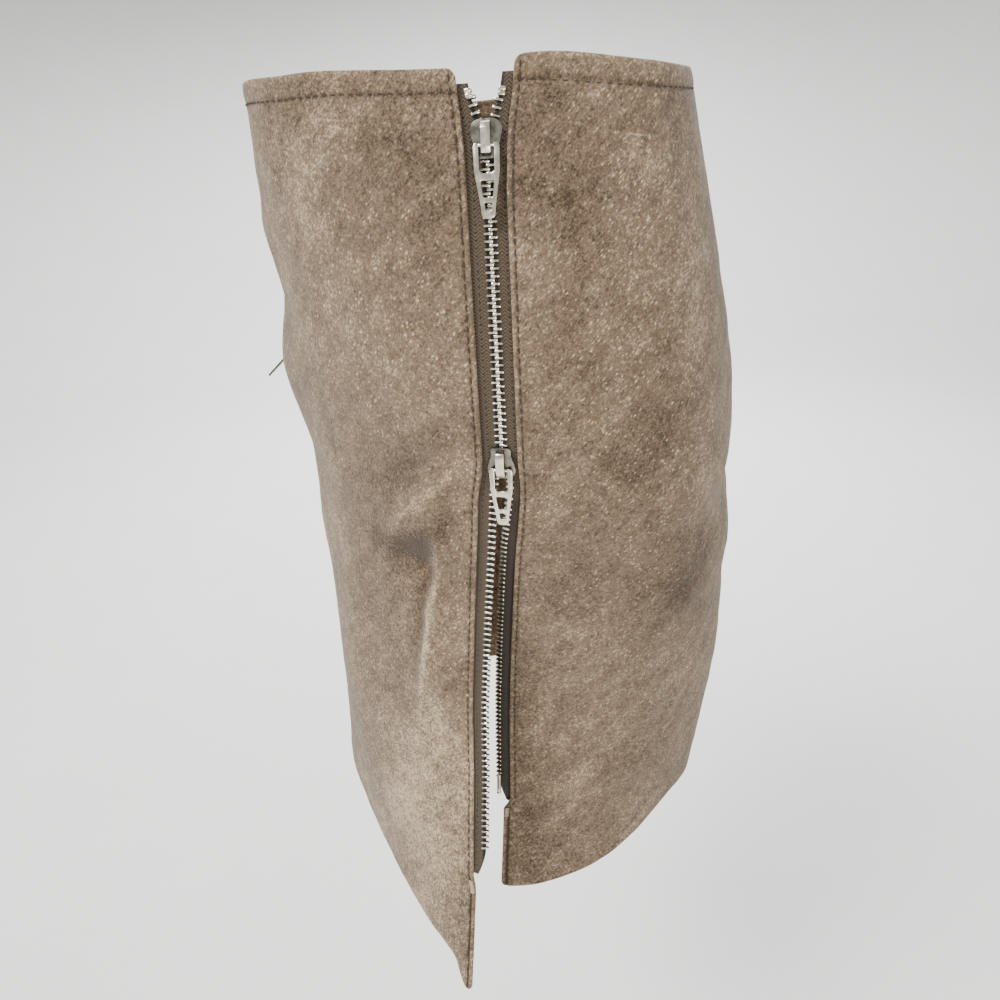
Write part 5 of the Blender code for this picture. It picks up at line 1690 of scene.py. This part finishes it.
# ================================================================ metal pieces in their places
def zip_frame(panel, edge, drop, on_tape_edge=False):
    """Place on the tape's middle plane: X to the wearer's left round the ring, Y up, Z out."""
    drops = drop + FRAME_REACH * np.array((-1, 0, 1))
    across = zip_edges(panel, edge, drops)[0] if on_tape_edge else np.zeros(3)
    if edge == panel.edges[1]:
        across = panel.width(drops) - across
    above, here, below = panel.at(across, drops, -TAPE_DEPTH)
    out = panel.read(panel.normals, across[1], drop)
    up = above - below
    return frame_from(here, np.cross(up, out), up)


def turned(angle, axis):
    return np.array(Matrix.Rotation(angle, 4, axis))


def moved(x, y, z):
    return np.array(Matrix.Translation((x, y, z)))


def slider_and_tab(name, panel, edge, crown_drop, crown_up, shapes, metal, swing):
    """A slider on its zip, and its pull tab hanging from the bridge."""
    middle_drop = crown_drop + (SLIDER_LONG / 2 if crown_up else -SLIDER_LONG / 2)
    frame = zip_frame(panel, edge, middle_drop)
    body_turn = moved(0, -SLIDER_LONG / 2, 0)
    if not crown_up:
        body_turn = turned(math.pi, "Z") @ body_turn
    slider = stamped("fine_slider_" + name, shapes["slider"], [frame @ body_turn], metal)
    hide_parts("slider_" + name)
    hinge = frame @ moved(0, SLIDER_LONG * (0.5 - PIVOT_FRACTION), PIVOT_OUT)
    down_here = np.linalg.inv(hinge[:3, :3]) @ np.array((0, 0, -1.0))
    hang = max(math.atan2(down_here[2], -down_here[1]), 0.0) + math.radians(swing)
    tab = stamped("fine_tab_" + name, shapes["tab"], [hinge @ turned(-hang, "X")], metal,
                  "pull_" + name)
    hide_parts("tab_" + name)


def zip_half(name, panel, edge, offset, shapes, materials_and_shades):
    """One tape with its teeth, top stop and, on a side tape, its pin."""
    tape = zip_tape(name, panel, edge, materials_and_shades[name.split("_")[0]])
    places = TOOTH_FIRST + offset + TOOTH_PITCH * np.arange(TOOTH_COUNT)
    frames = tape_frames(panel, edge, drops_along(panel, edge, places), TOOTH_FROM_EDGE)
    teeth = stamped("teeth_" + name, shapes["tooth"], frames, materials_and_shades["teeth"])
    pieces = [teeth]
    turn = turned(math.pi if edge == panel.edges[1] else 0, "Y")
    for kind, drop in (("stop", STOP_DROP), ("pin", PIN_DROP)):
        if kind == "pin" and name.startswith("front"):
            continue
        frame = zip_frame(panel, edge, drop, on_tape_edge=True) @ turn
        piece = stamped(f"fine_{kind}_{name}", shapes[kind], [frame], materials_and_shades["metal"])
        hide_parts(f"{kind}_{name}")
        pieces.append(piece)
    return tape, pieces


def soft_light(name, place, aim, size, power, colour):
    data = bpy.data.lights.new(name, "AREA")
    data.shape = "SQUARE"
    data.size = size
    data.energy = power
    data.color = colour
    lamp = bpy.data.objects.new(name, data)
    lamp.location = place
    lamp.rotation_euler = (Vector(aim) - Vector(place)).to_track_quat("-Z", "Y").to_euler()
    bpy.context.scene.collection.objects.link(lamp)


def studio():
    """A plain pale floor, even light from all round, and soft lamps."""
    nothing_selected()
    cells_across = round(FLOOR_SIZE / FLOOR_CELL)
    bpy.ops.mesh.primitive_grid_add(x_subdivisions=cells_across, y_subdivisions=cells_across,
                                    size=FLOOR_SIZE)
    floor = bpy.context.object
    floor.name = "studio_floor"
    for vertex in floor.data.vertices:
        away = max(0.0, vertex.co.xy.length - SWEEP_START)
        vertex.co.z = FLOOR_HEIGHT + SWEEP_TOP * (1 - math.exp(-(away / SWEEP_LONG)**2))
    floor.data.shade_smooth()
    floor.data.materials.append(floor_material())
    world = bpy.data.worlds.new("studio")
    bpy.context.scene.world = world
    world.use_nodes = True
    sky = world.node_tree.nodes["Background"]
    sky.inputs["Color"].default_value = (1.0, 1.0, 1.0, 1.0)
    sky.inputs["Strength"].default_value = WORLD_STRENGTH
    for lamp in LAMPS:
        soft_light(*lamp)


def camera():
    """The viewpoint: beside the left zip and just under the waist, tilted down."""
    turn, aim = math.radians(CAMERA_TURN), math.radians(CAMERA_AIM)
    tilt, roll = math.radians(CAMERA_TILT), math.radians(CAMERA_ROLL)
    level = Vector((-math.sin(aim), math.cos(aim), 0))
    right = Vector((math.cos(aim), math.sin(aim), 0))
    up = Vector((0, 0, 1))
    ahead = level * math.cos(tilt) - up * math.sin(tilt)
    up = up * math.cos(tilt) + level * math.sin(tilt)
    right, up = (right * math.cos(roll) + up * math.sin(roll),
                 up * math.cos(roll) - right * math.sin(roll))
    matrix = Matrix((right, up, -ahead)).transposed().to_4x4()
    matrix.translation = Vector((CAMERA_AWAY * math.sin(turn), -CAMERA_AWAY * math.cos(turn),
                                 CAMERA_HEIGHT)) * MM
    data = bpy.data.cameras.new("camera")
    data.lens = CAMERA_LENS
    data.sensor_width = CAMERA_FRAME
    data.clip_start = 0.01
    data.clip_end = 60
    view = bpy.data.objects.new("camera", data)
    view.matrix_world = matrix
    bpy.context.scene.collection.objects.link(view)
    bpy.context.scene.camera = view


def made_shapes():
    """Each small piece, modelled once."""
    return {"slider": slider_shape(), "tab": tab_shape(), "stop": stop_shape(),
            "pin": pin_shape(), "tooth": tooth_shape(), "stitch": stitch_shape()}


def made_materials_and_shades():
    """The tapes' weaves, and each metal piece's own colour with its two copies in painted shade.
    """
    twill = twill_group()
    painted_shades = (metal_material("plate_shade_nickel", *PLATE_SHADE_NICKEL),
                       metal_material("shaded_nickel", *SHADED_NICKEL))
    return {"front": tape_material("woven_zip_tape", twill, 1.0),
            "side": tape_material("woven_side_tape", twill, SIDE_TAPE_SHADE_LEFT),
            "metal": (metal_material("satin_nickel", *SATIN_NICKEL),) + painted_shades,
            "teeth": (metal_material("bright_teeth", *BRIGHT_TEETH),) + painted_shades}


def sewn_panel(panel, nap, scratch, shapes, thread):
    """A panel's shell, and the list that takes all that is sewn on it."""
    shell = suede_shell(panel, suede_material(panel.name, nap, scratch))
    stitches = stamped("stitches_" + panel.name, shapes["stitch"], sewing_frames(panel), thread)
    return shell, [stitches]


def main():
    nothing_selected()
    nap, scratch = nap_group(), scratch_group()
    materials_and_shades, shapes = made_materials_and_shades(), made_shapes()
    thread = thread_material("brown_thread", THREAD_BROWN)
    pale_thread = thread_material("bartack_thread", THREAD_PALE)
    panels = {row[0]: Panel(*row) for row in PANELS}
    sewing = {name: sewn_panel(panel, nap, scratch, shapes, thread)
              for name, panel in panels.items()}
    front = panels["front_panel"]
    for side, low_slider, swing in (("left", SLIDER_LOW_LEFT, 0.0),
                                    ("right", SLIDER_LOW_RIGHT, TAB_SWING_RIGHT_LOW)):
        edge = "zip_" + side
        for part, panel, offset in (("front", front, 0.0),
                                    ("side", panels[side + "_side_panel"], TOOTH_PITCH / 2)):
            tape, pieces = zip_half(f"{part}_{side}", panel, edge, offset, shapes, materials_and_shades)
            bar = stamped(f"bartack_{part}_{side}", shapes["stitch"],
                          bartack_frames(panel, edge), pale_thread)
            sewing[panel.name][1].append(bar)
        slider_and_tab(side + "_top", front, edge, CROWN_TOP, True, shapes,
                       materials_and_shades["metal"], 0.0)
        slider_and_tab(side + "_low", front, edge, low_slider + SLIDER_LONG, False, shapes,
                       materials_and_shades["metal"], swing)
    studio()
    camera()


main()
